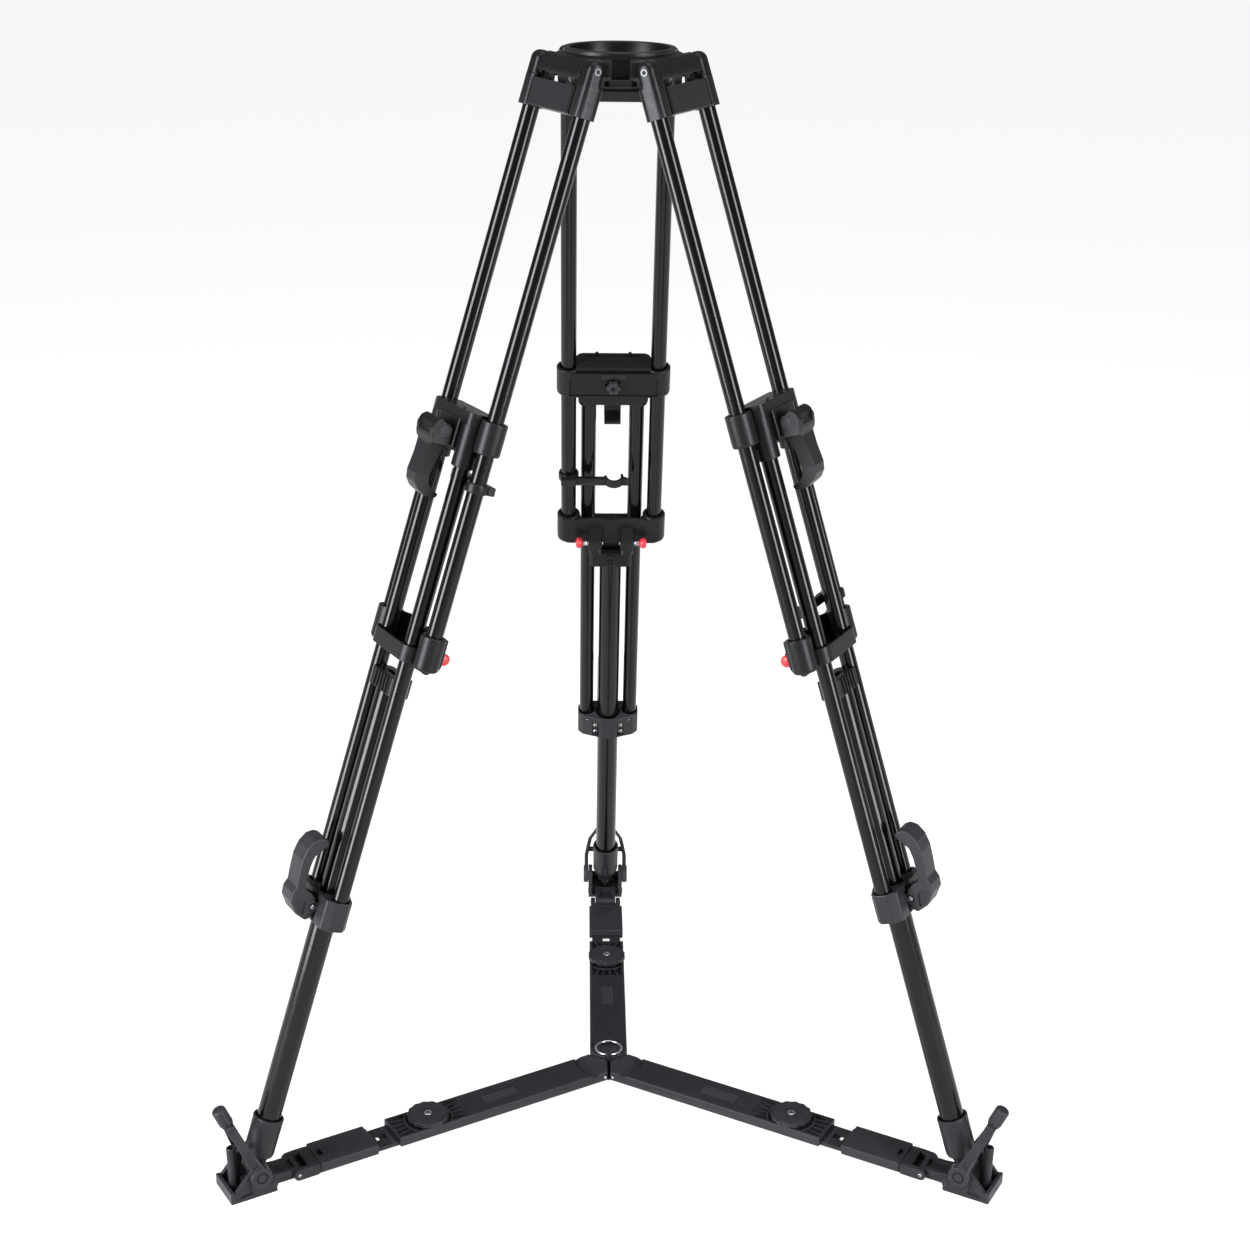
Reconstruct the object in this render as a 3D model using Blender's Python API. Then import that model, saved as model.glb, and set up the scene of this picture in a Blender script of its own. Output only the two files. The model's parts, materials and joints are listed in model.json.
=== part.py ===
"""A three-legged camera tripod with a 100 mm bowl, two-stage legs and a ground spreader, standing on its feet.

Every size below is in millimetres, and MM turns it into Blender's metres. Three kinds of frame are used:
- the tripod frame: X right, Y back, Z up from the floor, on the tripod's centre line;
- a leg frame, one per leg: X across the leg (t), Y outward from it (n), Z down along it (l);
- an arm frame, one per leg: X outward along the floor (r), Y across (t), Z up from the floor.
"""

import math

import bmesh
import bpy
from mathutils import Matrix, Vector

MM = 0.001
GAP = 0.3

# The tripod stands with the middle of its bounding box on the world's Z axis, so its centre line is off it.
CENTRE_LINE_Y = -117.9

BOWL_TOP = 1193.0
BOWL_RADIUS = 50.2
FLANGE_RADIUS = 57.0

# A leg leaves the crown at LEG_START and leans outward by LEAN.
LEAN = math.radians(18.525)
LEG_START_RADIUS = 84.75
LEG_START_DROP = 94.8
HINGE_N = 2.6
HINGE_L = -82.5

OUTER_TUBE_T = 51.15
OUTER_TUBE_RADIUS = 8.8
INNER_TUBE_T = 27.9
INNER_TUBE_N = 9.0
INNER_TUBE_RADIUS = 8.75
LOWER_TUBE_N = 5.3
LOWER_TUBE_RADIUS = 13.3
TUBE_WALL = 1.5

YOKE_END = -36.5
TUBE_TOP = -58.0
LOWER_CASTING = (500.0, 537.0)
TUBE_END = 532.0
SPRING_PIN_N = -25.8
SPRING_PIN_L = 526.6
GUIDE_CAP = (558.0, 578.0)
SOCKET = (1073.0, 1119.0)
SPIKE_TIP = 1154.0
FOOT_RADIUS = 453.1
FOOT_HEIGHT = 27.0

# Along the leg, for a middle stage that isn't shifted.
CLAMP = (273.5, 307.5)
CLAMP_LEVER_PIVOT = (33.0, 296.0)
TENSION_KNOB_L = 290.0
INNER_TUBE_TOP = 286.3
BOTTOM_CASTING = (805.0, 838.0)
LOWER_LEVER_PIVOT = (31.0, 820.5)

ARM_TOP = 15.5
ARM_BOTTOM = 4.0
ARM_HALF_WIDTH = 22.25
ARM_INNER_END = 285.0
ARM_OUTER_START = 312.0
ARM_KNOB_R = 240.0
LINK_PIN_R = 406.0
LINK_PIN_Z = 7.5
RING_RADIUS = 15.0
RING_EYE_Y = 4.0
RING_Z = 19.5

# Each leg's azimuth, how far its middle stage is drawn out from the left leg's, and where its clip sits.
LEGS = {
    "rear": (90.0, 20.0, 440.0),
    "left": (210.0, 0.0, 336.0),
    "right": (330.0, -11.0, 480.0),
}

COLOURS = {
    "cast_black": ((0.022, 0.022, 0.025), 0.0, 0.5),
    "cast_grey": ((0.075, 0.075, 0.08), 0.0, 0.55),
    "tube_black": ((0.012, 0.012, 0.014), 0.3, 0.25),
    "moulded_grey": ((0.06, 0.06, 0.064), 0.0, 0.55),
    "lever_grey": ((0.085, 0.085, 0.09), 0.0, 0.5),
    "knob_red": ((0.72, 0.04, 0.05), 0.0, 0.4),
    "bright_steel": ((0.75, 0.75, 0.76), 1.0, 0.25),
}


# ---------------------------------------------------------------- shapes


def shape(points, faces):
    """A helper object from points in millimetres."""
    mesh = bpy.data.meshes.new("shape")
    mesh.from_pydata([Vector(point) * MM for point in points], [], faces)
    work = bmesh.new()
    work.from_mesh(mesh)
    bmesh.ops.recalc_face_normals(work, faces=work.faces)
    work.to_mesh(mesh)
    work.free()
    helper = bpy.data.objects.new("shape", mesh)
    bpy.context.scene.collection.objects.link(helper)
    return helper


def box(x, y, z):
    points = [(a, b, c) for a in x for b in y for c in z]
    faces = [(0, 1, 3, 2), (4, 6, 7, 5), (0, 4, 5, 1), (2, 3, 7, 6), (0, 2, 6, 4), (1, 5, 7, 3)]
    return shape(points, faces)


def prism(outline, axis, span):
    """An outline of (first, second) coordinates across the axis, drawn out over span along it."""
    order = {"x": (2, 0, 1), "y": (0, 2, 1), "z": (0, 1, 2)}[axis]
    points = []
    for along in span:
        for first, second in outline:
            whole = (first, second, along)
            points.append([whole[i] for i in order])
    count = len(outline)
    faces = [tuple(range(count)), tuple(range(count, 2 * count))]
    for i in range(count):
        j = (i + 1) % count
        faces.append((i, j, count + j, count + i))
    return shape(points, faces)


def prism_across(outline, span):
    """An (r, z) outline drawn out across an arm or leg direction."""
    return prism(outline, "y", span)


def arc(centre, radius, start, end, steps):
    """Points on an arc, from start to end in degrees."""
    angles = [math.radians(start + (end - start) * i / steps) for i in range(steps + 1)]
    return [(centre[0] + radius * math.cos(a), centre[1] + radius * math.sin(a)) for a in angles]


def rod(start, end, radius, end_radius=None, sides=10):
    """A round bar or cone from start to end."""
    start, end = Vector(start), Vector(end)
    direction = (end - start).normalized()
    side = direction.orthogonal().normalized()
    up = direction.cross(side)
    points = []
    for centre, size in ((start, radius), (end, radius if end_radius is None else end_radius)):
        for i in range(sides):
            turn = 2 * math.pi * (i + 0.5) / sides
            points.append(centre + size * (math.cos(turn) * side + math.sin(turn) * up))
    faces = [tuple(range(sides)), tuple(range(sides, 2 * sides))]
    for i in range(sides):
        j = (i + 1) % sides
        faces.append((i, j, sides + j, sides + i))
    return shape(points, faces)


def turned(profile, sides=48, centre=(0.0, 0.0)):
    """A closed profile of (radius, height) turned about a vertical axis."""
    points = []
    for i in range(sides):
        turn = 2 * math.pi * i / sides
        for radius, height in profile:
            points.append((centre[0] + radius * math.cos(turn), centre[1] + radius * math.sin(turn), height))
    count = len(profile)
    faces = []
    for i in range(sides):
        for j in range(count):
            k = (j + 1) % count
            near, far = i * count, (i + 1) % sides * count
            faces.append((near + j, near + k, far + k, far + j))
    return shape(points, faces)


def pipe(x, y, span, radius, sides=16, wall=TUBE_WALL):
    """A tube along Z, open at both ends."""
    inner = radius - wall
    profile = [(inner, span[0]), (radius, span[0]), (radius, span[1]), (inner, span[1])]
    return turned(profile, sides, (x, y))


def combine(base, added=(), removed=()):
    """Joins the added shapes to the base, takes the removed ones away, and deletes those helpers."""
    for operation, helpers in (("UNION", added), ("DIFFERENCE", removed)):
        for helper in helpers:
            modifier = base.modifiers.new(operation, "BOOLEAN")
            modifier.operation = operation
            modifier.object = helper
            modifier.solver = "EXACT"
    graph = bpy.context.evaluated_depsgraph_get()
    mesh = bpy.data.meshes.new_from_object(base.evaluated_get(graph))
    base.modifiers.clear()
    base.data = mesh
    for helper in (*added, *removed):
        bpy.data.objects.remove(helper)
    return base


def moved(helper, matrix):
    helper.data.transform(matrix)
    return helper


def material(name):
    found = bpy.data.materials.get(name)
    if found:
        return found
    colour, metallic, roughness = COLOURS[name]
    made = bpy.data.materials.new(name)
    made.use_nodes = True
    shader = made.node_tree.nodes["Principled BSDF"]
    shader.inputs["Base Color"].default_value = (*colour, 1.0)
    shader.inputs["Metallic"].default_value = metallic
    shader.inputs["Roughness"].default_value = roughness
    return made


def piece(name, solid, finish, frame, origin=(0.0, 0.0, 0.0)):
    """Names a finished solid, gives it its material, and hangs it in its frame with its origin on its joint."""
    offset = Vector(origin) * MM
    solid.data.transform(Matrix.Translation(-offset))
    solid.name = name
    solid.data.name = name
    solid.data.materials.clear()
    solid.data.materials.append(material(finish))
    solid.data.shade_smooth()
    solid.data.set_sharp_from_angle(angle=math.radians(35))
    solid.parent = frame
    solid.location = offset
    return solid


def frame_empty(name, matrix, parent=None):
    empty = bpy.data.objects.new(name, None)
    bpy.context.scene.collection.objects.link(empty)
    empty.parent = parent
    empty.matrix_local = matrix
    return empty


def columns(x, y, z, origin):
    turn = Matrix((x, y, z)).transposed().to_4x4()
    return Matrix.Translation(Vector(origin) * MM) @ turn


def leg_matrix(azimuth):
    outward = Vector((math.cos(azimuth), math.sin(azimuth), 0.0))
    across = Vector((-math.sin(azimuth), math.cos(azimuth), 0.0))
    up = Vector((0.0, 0.0, 1.0))
    down_leg = math.sin(LEAN) * outward - math.cos(LEAN) * up
    normal = math.cos(LEAN) * outward + math.sin(LEAN) * up
    start = LEG_START_RADIUS * outward + (BOWL_TOP - LEG_START_DROP) * up
    return columns(across, normal, down_leg, start)


# ---------------------------------------------------------------- crown


def crown(frame):
    """The bowl casting: bowl, flange, one hollow lobe over each leg and a hooked bail at each corner's slot."""
    top = BOWL_TOP
    ball = [(math.sqrt(BOWL_RADIUS**2 - drop**2), top - drop) for drop in (0, 12, 24, 36)]
    outside = [
        (47.0, top - 36),
        (65.5, top - 27),
        (65.5, top - 12),
        (62.0, top - 6),
        (FLANGE_RADIUS + 1.5, top - 4),
        (FLANGE_RADIUS, top - 4),
        (FLANGE_RADIUS, top),
    ]
    body = turned(ball[::-1] + outside[::-1], 36)
    shell = [
        (56.0, top - 5),
        (62.0, top - 6),
        (66.0, top - 10),
        (70.2, top - 18),
        (72.5, top - 27),
        (69.0, top - 27),
        (64.0, top - 14),
        (56.0, top - 13),
    ]
    cheek = [(54.0, top - 9.5), (63.0, top - 12.2), (69.7, top - 25.5), (66.0, top - 28), (54.0, top - 28.5)]
    hinge = (61.0, top - 15.75)
    added, removed = [], []
    for azimuth, *_ in LEGS.values():
        turn = Matrix.Rotation(math.radians(azimuth), 4, "Z")
        lobe = [prism_across(shell, (-41.5, 41.5))]
        bores = []
        for side in (-1, 1):
            lobe.append(prism_across(cheek, sorted((side * 36.0, side * 41.2))))
            lobe.append(rod((hinge[0], side * 29.0, hinge[1]), (hinge[0], side * 40.8, hinge[1]), 6.5))
            bores.append(rod((hinge[0], side * 31.0, hinge[1]), (hinge[0], side * 45.0, hinge[1]), 4.0 + GAP))
        added += [moved(helper, turn) for helper in lobe]
        removed += [moved(helper, turn) for helper in bores]
        corner = Matrix.Rotation(math.radians(azimuth + 60), 4, "Z")
        removed.append(moved(box((53.5, 80.0), (-9.0, 9.0), (top - 30, top - 5)), corner))
        added.append(moved(bail(top), corner))
    return piece("crown", combine(body, added, removed), "cast_black", frame)


def bail(top):
    """The bar that stands out in a U under a corner slot."""
    outer = [(59.0, -14.6), (68.0, -16.0), (71.5, -11.0), (71.5, 11.0), (68.0, 16.0), (59.0, 14.6)]
    inner = [(59.0, 9.8), (66.0, 10.5), (67.5, 8.0), (67.5, -8.0), (66.0, -10.5), (59.0, -9.8)]
    return prism(outer + inner, "z", (top - 30.4, top - 26.6))


# ---------------------------------------------------------------- legs, in the leg frame


def yoke(name, frame):
    """Two hinge ears, which are also the outer tubes' sockets, joined by a band."""
    band = [(-10.8, -50), (4, -50), (4, -65), (10, -65), (12.5, -62), (12.5, -37), (-10.8, -37)]
    base = prism(band, "x", (-43.0, 43.0))
    ear = arc((HINGE_N, -83.5), 9.5, 180, 360, 8) + [(12.1, -56.0), (-6.9, -56.0)]
    socket = [(-10.8, -62), (-8, -65), (9, -65), (12.5, -62), (12.5, YOKE_END), (-10.8, YOKE_END)]
    added, removed = [], []
    for side in (-1, 1):
        added.append(prism(ear, "x", sorted((side * 42.0, side * 60.0))))
        added.append(prism(socket, "x", sorted((side * 40.4, side * 62.0))))
        added.append(rod((side * 33.0, HINGE_N, HINGE_L), (side * 61.5, HINGE_N, HINGE_L), 4.0))
        hole = (side * OUTER_TUBE_T, 0.0)
        removed.append(rod((*hole, TUBE_TOP - GAP), (*hole, -20.0), OUTER_TUBE_RADIUS + GAP, sides=16))
    solid = combine(base, added, removed)
    return piece(name, solid, "cast_black", frame, (0.0, HINGE_N, HINGE_L))


def outer_tube(name, frame, side):
    solid = pipe(side * OUTER_TUBE_T, 0.0, (TUBE_TOP, TUBE_END), OUTER_TUBE_RADIUS)
    return piece(name, solid, "tube_black", frame, (side * OUTER_TUBE_T, 0.0, TUBE_TOP))


def lower_casting(name, frame):
    """Collars on the outer tubes' ends, an inner wall, an outer strap and two lugs for the spring pins."""
    top, end = LOWER_CASTING
    wall = [(-13.6, top + 3), (-9.5, top + 3), (-9.5, end), (-12.0, end), (-13.6, end - 2)]
    base = prism(wall, "x", (-48.0, 48.0))
    strap = [(-44.0, 24.0), (44.0, 24.0), (49.0, 20.0), (49.0, 7.0), (38.2, 7.0), (38.2, 19.4)]
    strap += [(-38.2, 19.4), (-38.2, 7.0), (-49.0, 7.0), (-49.0, 20.0)]
    lug = [(-10.7, 512), (-26.0, 518.5), (-33.0, 522), (-33.0, 532), (-29.0, 536), (-20.0, 549), (-12.6, 549)]
    lug += [(-12.6, end - 0.8), (-10.7, end - 0.8)]
    added = [prism(strap, "z", (top + 4, top + 20))]
    removed = []
    for side in (-1, 1):
        collar = (side * OUTER_TUBE_T, 0.0)
        added.append(rod((*collar, top), (*collar, end), 13.6, sides=16))
        added.append(prism(lug, "x", sorted((side * 11.5, side * 26.5))))
        removed.append(rod((*collar, top - 9), (*collar, TUBE_END + GAP), OUTER_TUBE_RADIUS + GAP, sides=16))
        pin = (SPRING_PIN_N, SPRING_PIN_L)
        removed.append(rod((side * 9.0, *pin), (side * 29.0, *pin), 3.0 + GAP, sides=10))
    solid = combine(base, added, removed)
    return piece(name, solid, "cast_grey", frame, (0.0, 0.0, top))


def spring_pin(name, frame, side):
    """A pin through its lug with a round knob outside it."""
    at = (SPRING_PIN_N, SPRING_PIN_L)
    knob = rod((side * 33.5, *at), (side * 40.0, *at), 6.5)
    added = [
        rod((side * 39.5, *at), (side * 42.5, *at), 6.1, 4.5),
        rod((side * 10.0, *at), (side * 34.5, *at), 3.0, sides=10),
    ]
    return piece(name, combine(knob, added), "knob_red", frame, (side * 38.0, *at))


def clamp_casting(name, frame, shift):
    """Runs on the outer tubes, holds the inner tubes' heads, and carries the clamp lever and the tension knob."""
    top, end = CLAMP[0] + shift, CLAMP[1] + shift
    base = box((-49.0, 49.0), (-12.8, 8.2), (top + 2, end - 1))
    plate = [(-41, -12.5), (41, -12.5), (41, 14), (33, 22), (-33, 22), (-41, 14)]
    flange = [(-40, -12.5), (40, -12.5), (40, 12), (34, 20), (-34, 20), (-40, 12)]
    pivot_n, pivot_l = CLAMP_LEVER_PIVOT[0], CLAMP_LEVER_PIVOT[1] + shift
    lug = [(20.0, pivot_l - 7), *arc((pivot_n, pivot_l), 7.0, -90, 90, 6), (20.0, pivot_l + 7)]
    added = [
        prism(plate, "z", (top - 1.5, top + 9)),
        prism(flange, "z", (end - 4, end + 11)),
        box((-22.0, 22.0), (0.0, 23.7), (top + 7, end + 3)),
        prism(lug, "x", (-9.0, 9.0)),
        rod((-17.0, pivot_n, pivot_l), (17.0, pivot_n, pivot_l), 3.0, sides=10),
    ]
    knob_l = TENSION_KNOB_L + shift
    removed = [rod((0.0, -20.0, knob_l), (0.0, -5.0, knob_l), 3.0 + GAP, sides=10)]
    for side in (-1, 1):
        collar = (side * OUTER_TUBE_T, 0.0)
        inner = (side * INNER_TUBE_T, INNER_TUBE_N)
        added.append(rod((*collar, top), (*collar, end), 13.6, sides=16))
        added.append(rod((*inner, top + 5), (*inner, end + 19.5), 12.4, sides=16))
        removed.append(rod((*collar, top - 9), (*collar, end + 9), OUTER_TUBE_RADIUS + GAP, sides=16))
        start = INNER_TUBE_TOP + shift - GAP
        removed.append(rod((*inner, start), (*inner, end + 40), INNER_TUBE_RADIUS + GAP, sides=16))
    solid = combine(base, added, removed)
    return piece(name, solid, "cast_black", frame, (0.0, 0.0, top))


def clamp_lever(name, frame, shift):
    """A block round the pivot that runs out into a bowed handle."""
    pivot_n, pivot_l = CLAMP_LEVER_PIVOT
    handle = arc(CLAMP_LEVER_PIVOT, 8.4, -90, -180, 5) + [(25, 308), (28, 313), (31, 326), (33, 345), (31, 354)]
    handle += [(24, 360), (17, 362), (20, 367), (33, 366), (42, 361), (47.5, 354), (49, 345), (46, 325), (44, 312)]
    handle += [(47, 305), (48.5, 296), (46, 288.5), (40, 284)]
    solid = prism(handle, "x", (-18.0, 18.0))
    removed = [
        box((-9.0 - GAP, 9.0 + GAP), (20.0, 41.0), (280.0, 305.0)),
        rod((-19.0, pivot_n, pivot_l), (19.0, pivot_n, pivot_l), 3.0 + GAP, sides=10),
    ]
    for side in (-1, 1):
        waist = [(side * 14.0, 312), (side * 10.0, 340), (side * 9.0, 370), (side * 30.0, 370), (side * 30.0, 312)]
        removed.append(prism(waist, "y", (0.0, 60.0)))
    solid = combine(solid, removed=removed)
    solid.data.transform(Matrix.Translation((0.0, 0.0, shift * MM)))
    return piece(name, solid, "cast_black", frame, (0.0, pivot_n, pivot_l + shift))


def tension_knob(name, frame, shift):
    """A knob with six lobes on a stud in the clamp casting's inner face."""
    outline = []
    for i in range(18):
        turn = 2 * math.pi * i / 18
        radius = 7.2 + 0.8 * math.cos(6 * turn)
        outline.append((radius * math.cos(turn), TENSION_KNOB_L + shift + radius * math.sin(turn)))
    at = TENSION_KNOB_L + shift
    solid = combine(prism(outline, "y", (-22.0, -14.6)), [rod((0, -15.0, at), (0, -6.0, at), 3.0, sides=10)])
    return piece(name, solid, "cast_black", frame, (0.0, -12.5, at))


def middle_frame(name, frame, shift):
    """The two inner tubes and the casting that ties their lower ends and clamps the lower tube."""
    top, end = BOTTOM_CASTING[0] + shift, BOTTOM_CASTING[1] + shift
    half = [(13, -12), (32, -9), (38.7, -1), (38.7, 17), (31, 26), (10, 26)]
    outline = half + [(-t, n) for t, n in reversed(half)]
    base = prism(outline, "z", (top, end))
    pivot_n, pivot_l = LOWER_LEVER_PIVOT[0], LOWER_LEVER_PIVOT[1] + shift
    lug = [(24.0, pivot_l - 8), *arc((pivot_n + 1, pivot_l), 8.0, -90, 90, 6), (24.0, pivot_l + 8)]
    added = [
        prism(lug, "x", (-8.0, 8.0)),
        rod((-14.5, pivot_n, pivot_l), (14.5, pivot_n, pivot_l), 3.0, sides=10),
    ]
    for side in (-1, 1):
        tube_top = INNER_TUBE_TOP + shift
        added.append(pipe(side * INNER_TUBE_T, INNER_TUBE_N, (tube_top, top + 12), INNER_TUBE_RADIUS))
    removed = [rod((0, LOWER_TUBE_N, top - 20), (0, LOWER_TUBE_N, end + 9), LOWER_TUBE_RADIUS + GAP, sides=18)]
    for side in (-1, 1):
        removed.append(box(sorted((side * 7.6, side * 14.4)), (20.0, 28.5), (pivot_l - 9, end + 9)))
    solid = combine(base, added, removed)
    return piece(name, solid, "cast_grey", frame, (0.0, INNER_TUBE_N, tube_top))


def lower_lever(name, frame, shift):
    """A C-shaped handle that straddles its pivot lug."""
    pivot_n, pivot_l = LOWER_LEVER_PIVOT
    handle = [(30, 750), (33, 745), (40, 743.5), (48, 747), (54, 757), (56.5, 770), (55.5, 790), (54.5, 800)]
    handle += [(57.5, 807), (57, 817), (48, 830), (35, 836.5)]
    handle += arc((pivot_n + 6.5, pivot_l + 6), 10.0, 130, 200, 3)
    handle += [(29, 812), (35, 806), (44, 802), (45, 790), (45, 775), (43, 764), (36, 757)]
    solid = prism(handle, "x", (-13.5, 13.5))
    removed = [
        box((-8.0 - GAP, 8.0 + GAP), (20.0, 44.0), (809.0, 850.0)),
        rod((-15.0, pivot_n, pivot_l), (15.0, pivot_n, pivot_l), 3.0 + GAP, sides=10),
    ]
    solid = combine(solid, removed=removed)
    solid.data.transform(Matrix.Translation((0.0, 0.0, shift * MM)))
    return piece(name, solid, "lever_grey", frame, (0.0, pivot_n, pivot_l + shift))


def lower_tube(name, frame):
    """The single lower tube and the guide cap on its head, which runs on the inner tubes."""
    top, end = GUIDE_CAP
    outline = [(-26, -4), (-22, -7), (22, -7), (26, -4), (26, 15), (22, 17.5), (-22, 17.5), (-26, 15)]
    cap = prism(outline, "z", (top, end))
    removed = []
    for side in (-1, 1):
        at = (side * INNER_TUBE_T, INNER_TUBE_N)
        removed.append(rod((*at, top - 9), (*at, end + 9), INNER_TUBE_RADIUS + GAP, sides=16))
    cap = combine(cap, removed=removed)
    tube = pipe(0.0, LOWER_TUBE_N, (end - 6, SOCKET[1] - 11), LOWER_TUBE_RADIUS, 18)
    return piece(name, combine(cap, [tube]), "tube_black", frame, (0.0, LOWER_TUBE_N, top))


def foot_socket(name, frame):
    """A cup on the lower tube's end, with the neck, the bored ankle and the spike."""
    start, end = SOCKET
    centre = LOWER_TUBE_N
    cup = turned([(0.0, end), (15.5, end), (17.0, end - 3), (17.0, start), (0.0, start)], 18, (0.0, centre))
    ankle_n, ankle_l = ankle_in_leg()
    added = [
        rod((0, centre, end - 4), (0, centre + 1, ankle_l), 12.0, 10.0),
        rod((-9.5, ankle_n, ankle_l), (9.5, ankle_n, ankle_l), 9.0),
        rod((0, centre, ankle_l + 5), (0, centre, SPIKE_TIP), 6.0, 0.8, sides=10),
    ]
    removed = [
        rod((0, centre, start - 9), (0, centre, end - 11 + GAP), LOWER_TUBE_RADIUS + GAP, sides=18),
        rod((-12, ankle_n, ankle_l), (12, ankle_n, ankle_l), 3.5 + GAP, sides=10),
    ]
    return piece(name, combine(cup, added, removed), "cast_grey", frame, (0.0, centre, start))


def ankle_in_leg():
    """The ankle pivot's place in the leg frame, as (n, l)."""
    radius = FOOT_RADIUS - LEG_START_RADIUS
    drop = BOWL_TOP - LEG_START_DROP - FOOT_HEIGHT
    along = radius * math.sin(LEAN) + drop * math.cos(LEAN)
    outward = radius * math.cos(LEAN) - drop * math.sin(LEAN)
    return outward, along


def cable_clip(name, frame, start):
    """A ring on an outer tube with an arm behind the leg that ends in an open hook."""
    end = start + 10.0
    ring = rod((0, 0, start), (0, 0, end), 11.6, sides=18)
    arm = [(-4, -9.5), (-43, -9.5), (-45, -9.0), *arc((-53.5, -9.0), 8.0, 0, -180, 8), (-61.5, -3.5)]
    arm += [(-64, -3.5), (-65, -9.0), (-71, -13.0), (-71, -14.5)]
    arm += arc((-53.5, -9.0), 11.0, -150, -30, 6) + [(-42, -14.5), (-8, -14.5), (-4, -14.0)]
    added = [prism(arm, "z", (start + 0.8, end - 0.8)), box((-9.0, 9.0), (-17.5, -8.3), (start + 0.4, end - 0.4))]
    removed = [rod((0, 0, start - 5), (0, 0, end + 5), OUTER_TUBE_RADIUS + GAP, sides=16)]
    solid = combine(ring, added, removed)
    across = Matrix.Translation((OUTER_TUBE_T * MM, 0.0, 0.0))
    return piece(name, moved(solid, across), "cast_black", frame, (OUTER_TUBE_T, 0.0, start))


def build_leg(name, tripod):
    azimuth, shift, clip_start = LEGS[name]
    frame = frame_empty("leg_" + name, leg_matrix(math.radians(azimuth)), tripod)
    yoke("yoke_" + name, frame)
    outer_tube("outer_tube_a_" + name, frame, -1)
    outer_tube("outer_tube_b_" + name, frame, 1)
    lower_casting("lower_casting_" + name, frame)
    spring_pin("spring_pin_a_" + name, frame, -1)
    spring_pin("spring_pin_b_" + name, frame, 1)
    clamp_casting("clamp_casting_" + name, frame, shift)
    clamp_lever("clamp_lever_" + name, frame, shift)
    tension_knob("tension_knob_" + name, frame, shift)
    middle_frame("middle_frame_" + name, frame, shift)
    lower_lever("lower_lever_" + name, frame, shift)
    lower_tube("lower_tube_" + name, frame)
    foot_socket("foot_socket_" + name, frame)
    cable_clip("cable_clip_" + name, frame, clip_start)


# ---------------------------------------------------------------- spreader, in the arm frame


def foot_block(name, frame):
    """The shoe under a spike: a floor plate with two cheeks, an end lip, a post and the link's tongue."""
    base = box((434.0, 487.0), (-23.0, 23.0), (0.0, 4.0))
    at = (FOOT_RADIUS, FOOT_HEIGHT)
    cheek = [(434.0, 0.0), (487.0, 0.0), (487.0, 11.0), (480.0, 13.0), *arc(at, 12.5, 10, 170, 8), (434.0, 16.0)]
    tongue = [(436.0, 2.0), (407.0, 2.0), *arc((LINK_PIN_R, LINK_PIN_Z), 6.0, -90, -270, 6), (436.0, 13.5)]
    added = [
        box((483.0, 487.0), (-23.0, 23.0), (0.0, 13.0)),
        rod((474.0, 0.0, 2.0), (476.0, 0.0, 57.0), 5.5),
        prism(tongue, "y", (-13.5, 13.5)),
        rod((at[0], -24.0, at[1]), (at[0], 24.0, at[1]), 3.5, sides=10),
    ]
    for side in (-1, 1):
        added.append(prism(cheek, "y", sorted((side * 18.0, side * 23.0))))
    removed = []
    for side in (-1, 1):
        removed.append(box((418.0, 434.0), sorted((side * 20.0, side * 8.5)), (5.0, 20.0)))
    solid = combine(base, added, removed)
    return piece(name, solid, "moulded_grey", frame, (at[0], 0.0, at[1]))


def foot_lever(name, frame):
    """Two arms with round hubs outside the block's cheeks, a cross bar and a round grip."""
    lean = math.atan2(115.0 + ARM_TOP - FOOT_HEIGHT, 497.0 - FOOT_RADIUS)
    forward = Vector((math.cos(lean), 0.0, math.sin(lean)))
    pivot = Vector((FOOT_RADIUS, 0.0, FOOT_HEIGHT))
    across = Vector((0.0, 1.0, 0.0))
    base = rod(pivot + 62.0 * forward, pivot + 111.0 * forward, 7.0)
    added = [rod(pivot + 67.0 * forward - 24.0 * across, pivot + 67.0 * forward + 24.0 * across, 4.5)]
    side_view = Vector((-math.sin(lean), 0.0, math.cos(lean)))
    for side in (-1, 1):
        near, far = pivot + side * 23.4 * across, pivot + side * 30.0 * across
        added.append(rod(near, far, 12.0, sides=16))
        corners = []
        for along, half in ((0.0, 7.0), (70.0, 4.5)):
            for edge in (-half, half):
                corners.append(pivot + along * forward + edge * side_view)
        outline = [(corners[i].x, corners[i].z) for i in (0, 1, 3, 2)]
        added.append(prism(outline, "y", sorted((side * 23.8, side * 28.6))))
    removed = [rod(pivot - 24.4 * across, pivot + 24.4 * across, 3.5 + GAP, sides=10)]
    return piece(name, combine(base, added, removed), "moulded_grey", frame, pivot)


def arm_outer(name, frame):
    """The outer stage: a tongue inside the inner stage, a tray, and a clevis that takes the foot's tongue."""
    start, end = ARM_OUTER_START, 381.0
    base = box((start, end), (-ARM_HALF_WIDTH, ARM_HALF_WIDTH), (ARM_BOTTOM, ARM_TOP))
    cheek = [(385.0, 1.5), *arc((LINK_PIN_R, LINK_PIN_Z), 6.2, -90, 90, 6), (385.0, 14.0)]
    added = [
        box((150.0, start + 5), (-18.6, 18.6), (4.5, 9.2)),
        box((end - 4, 391.0), (-20.0, 20.0), (ARM_BOTTOM - 1.5, 14.0)),
        prism(cheek, "y", (-20.0, -14.2)),
        prism(cheek, "y", (14.2, 20.0)),
    ]
    removed = [box((383.0, 389.0), (-6.0, 6.0), (9.0, 20.0))]
    return piece(name, combine(base, added, removed), "moulded_grey", frame, (start, 0.0, ARM_BOTTOM))


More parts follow.
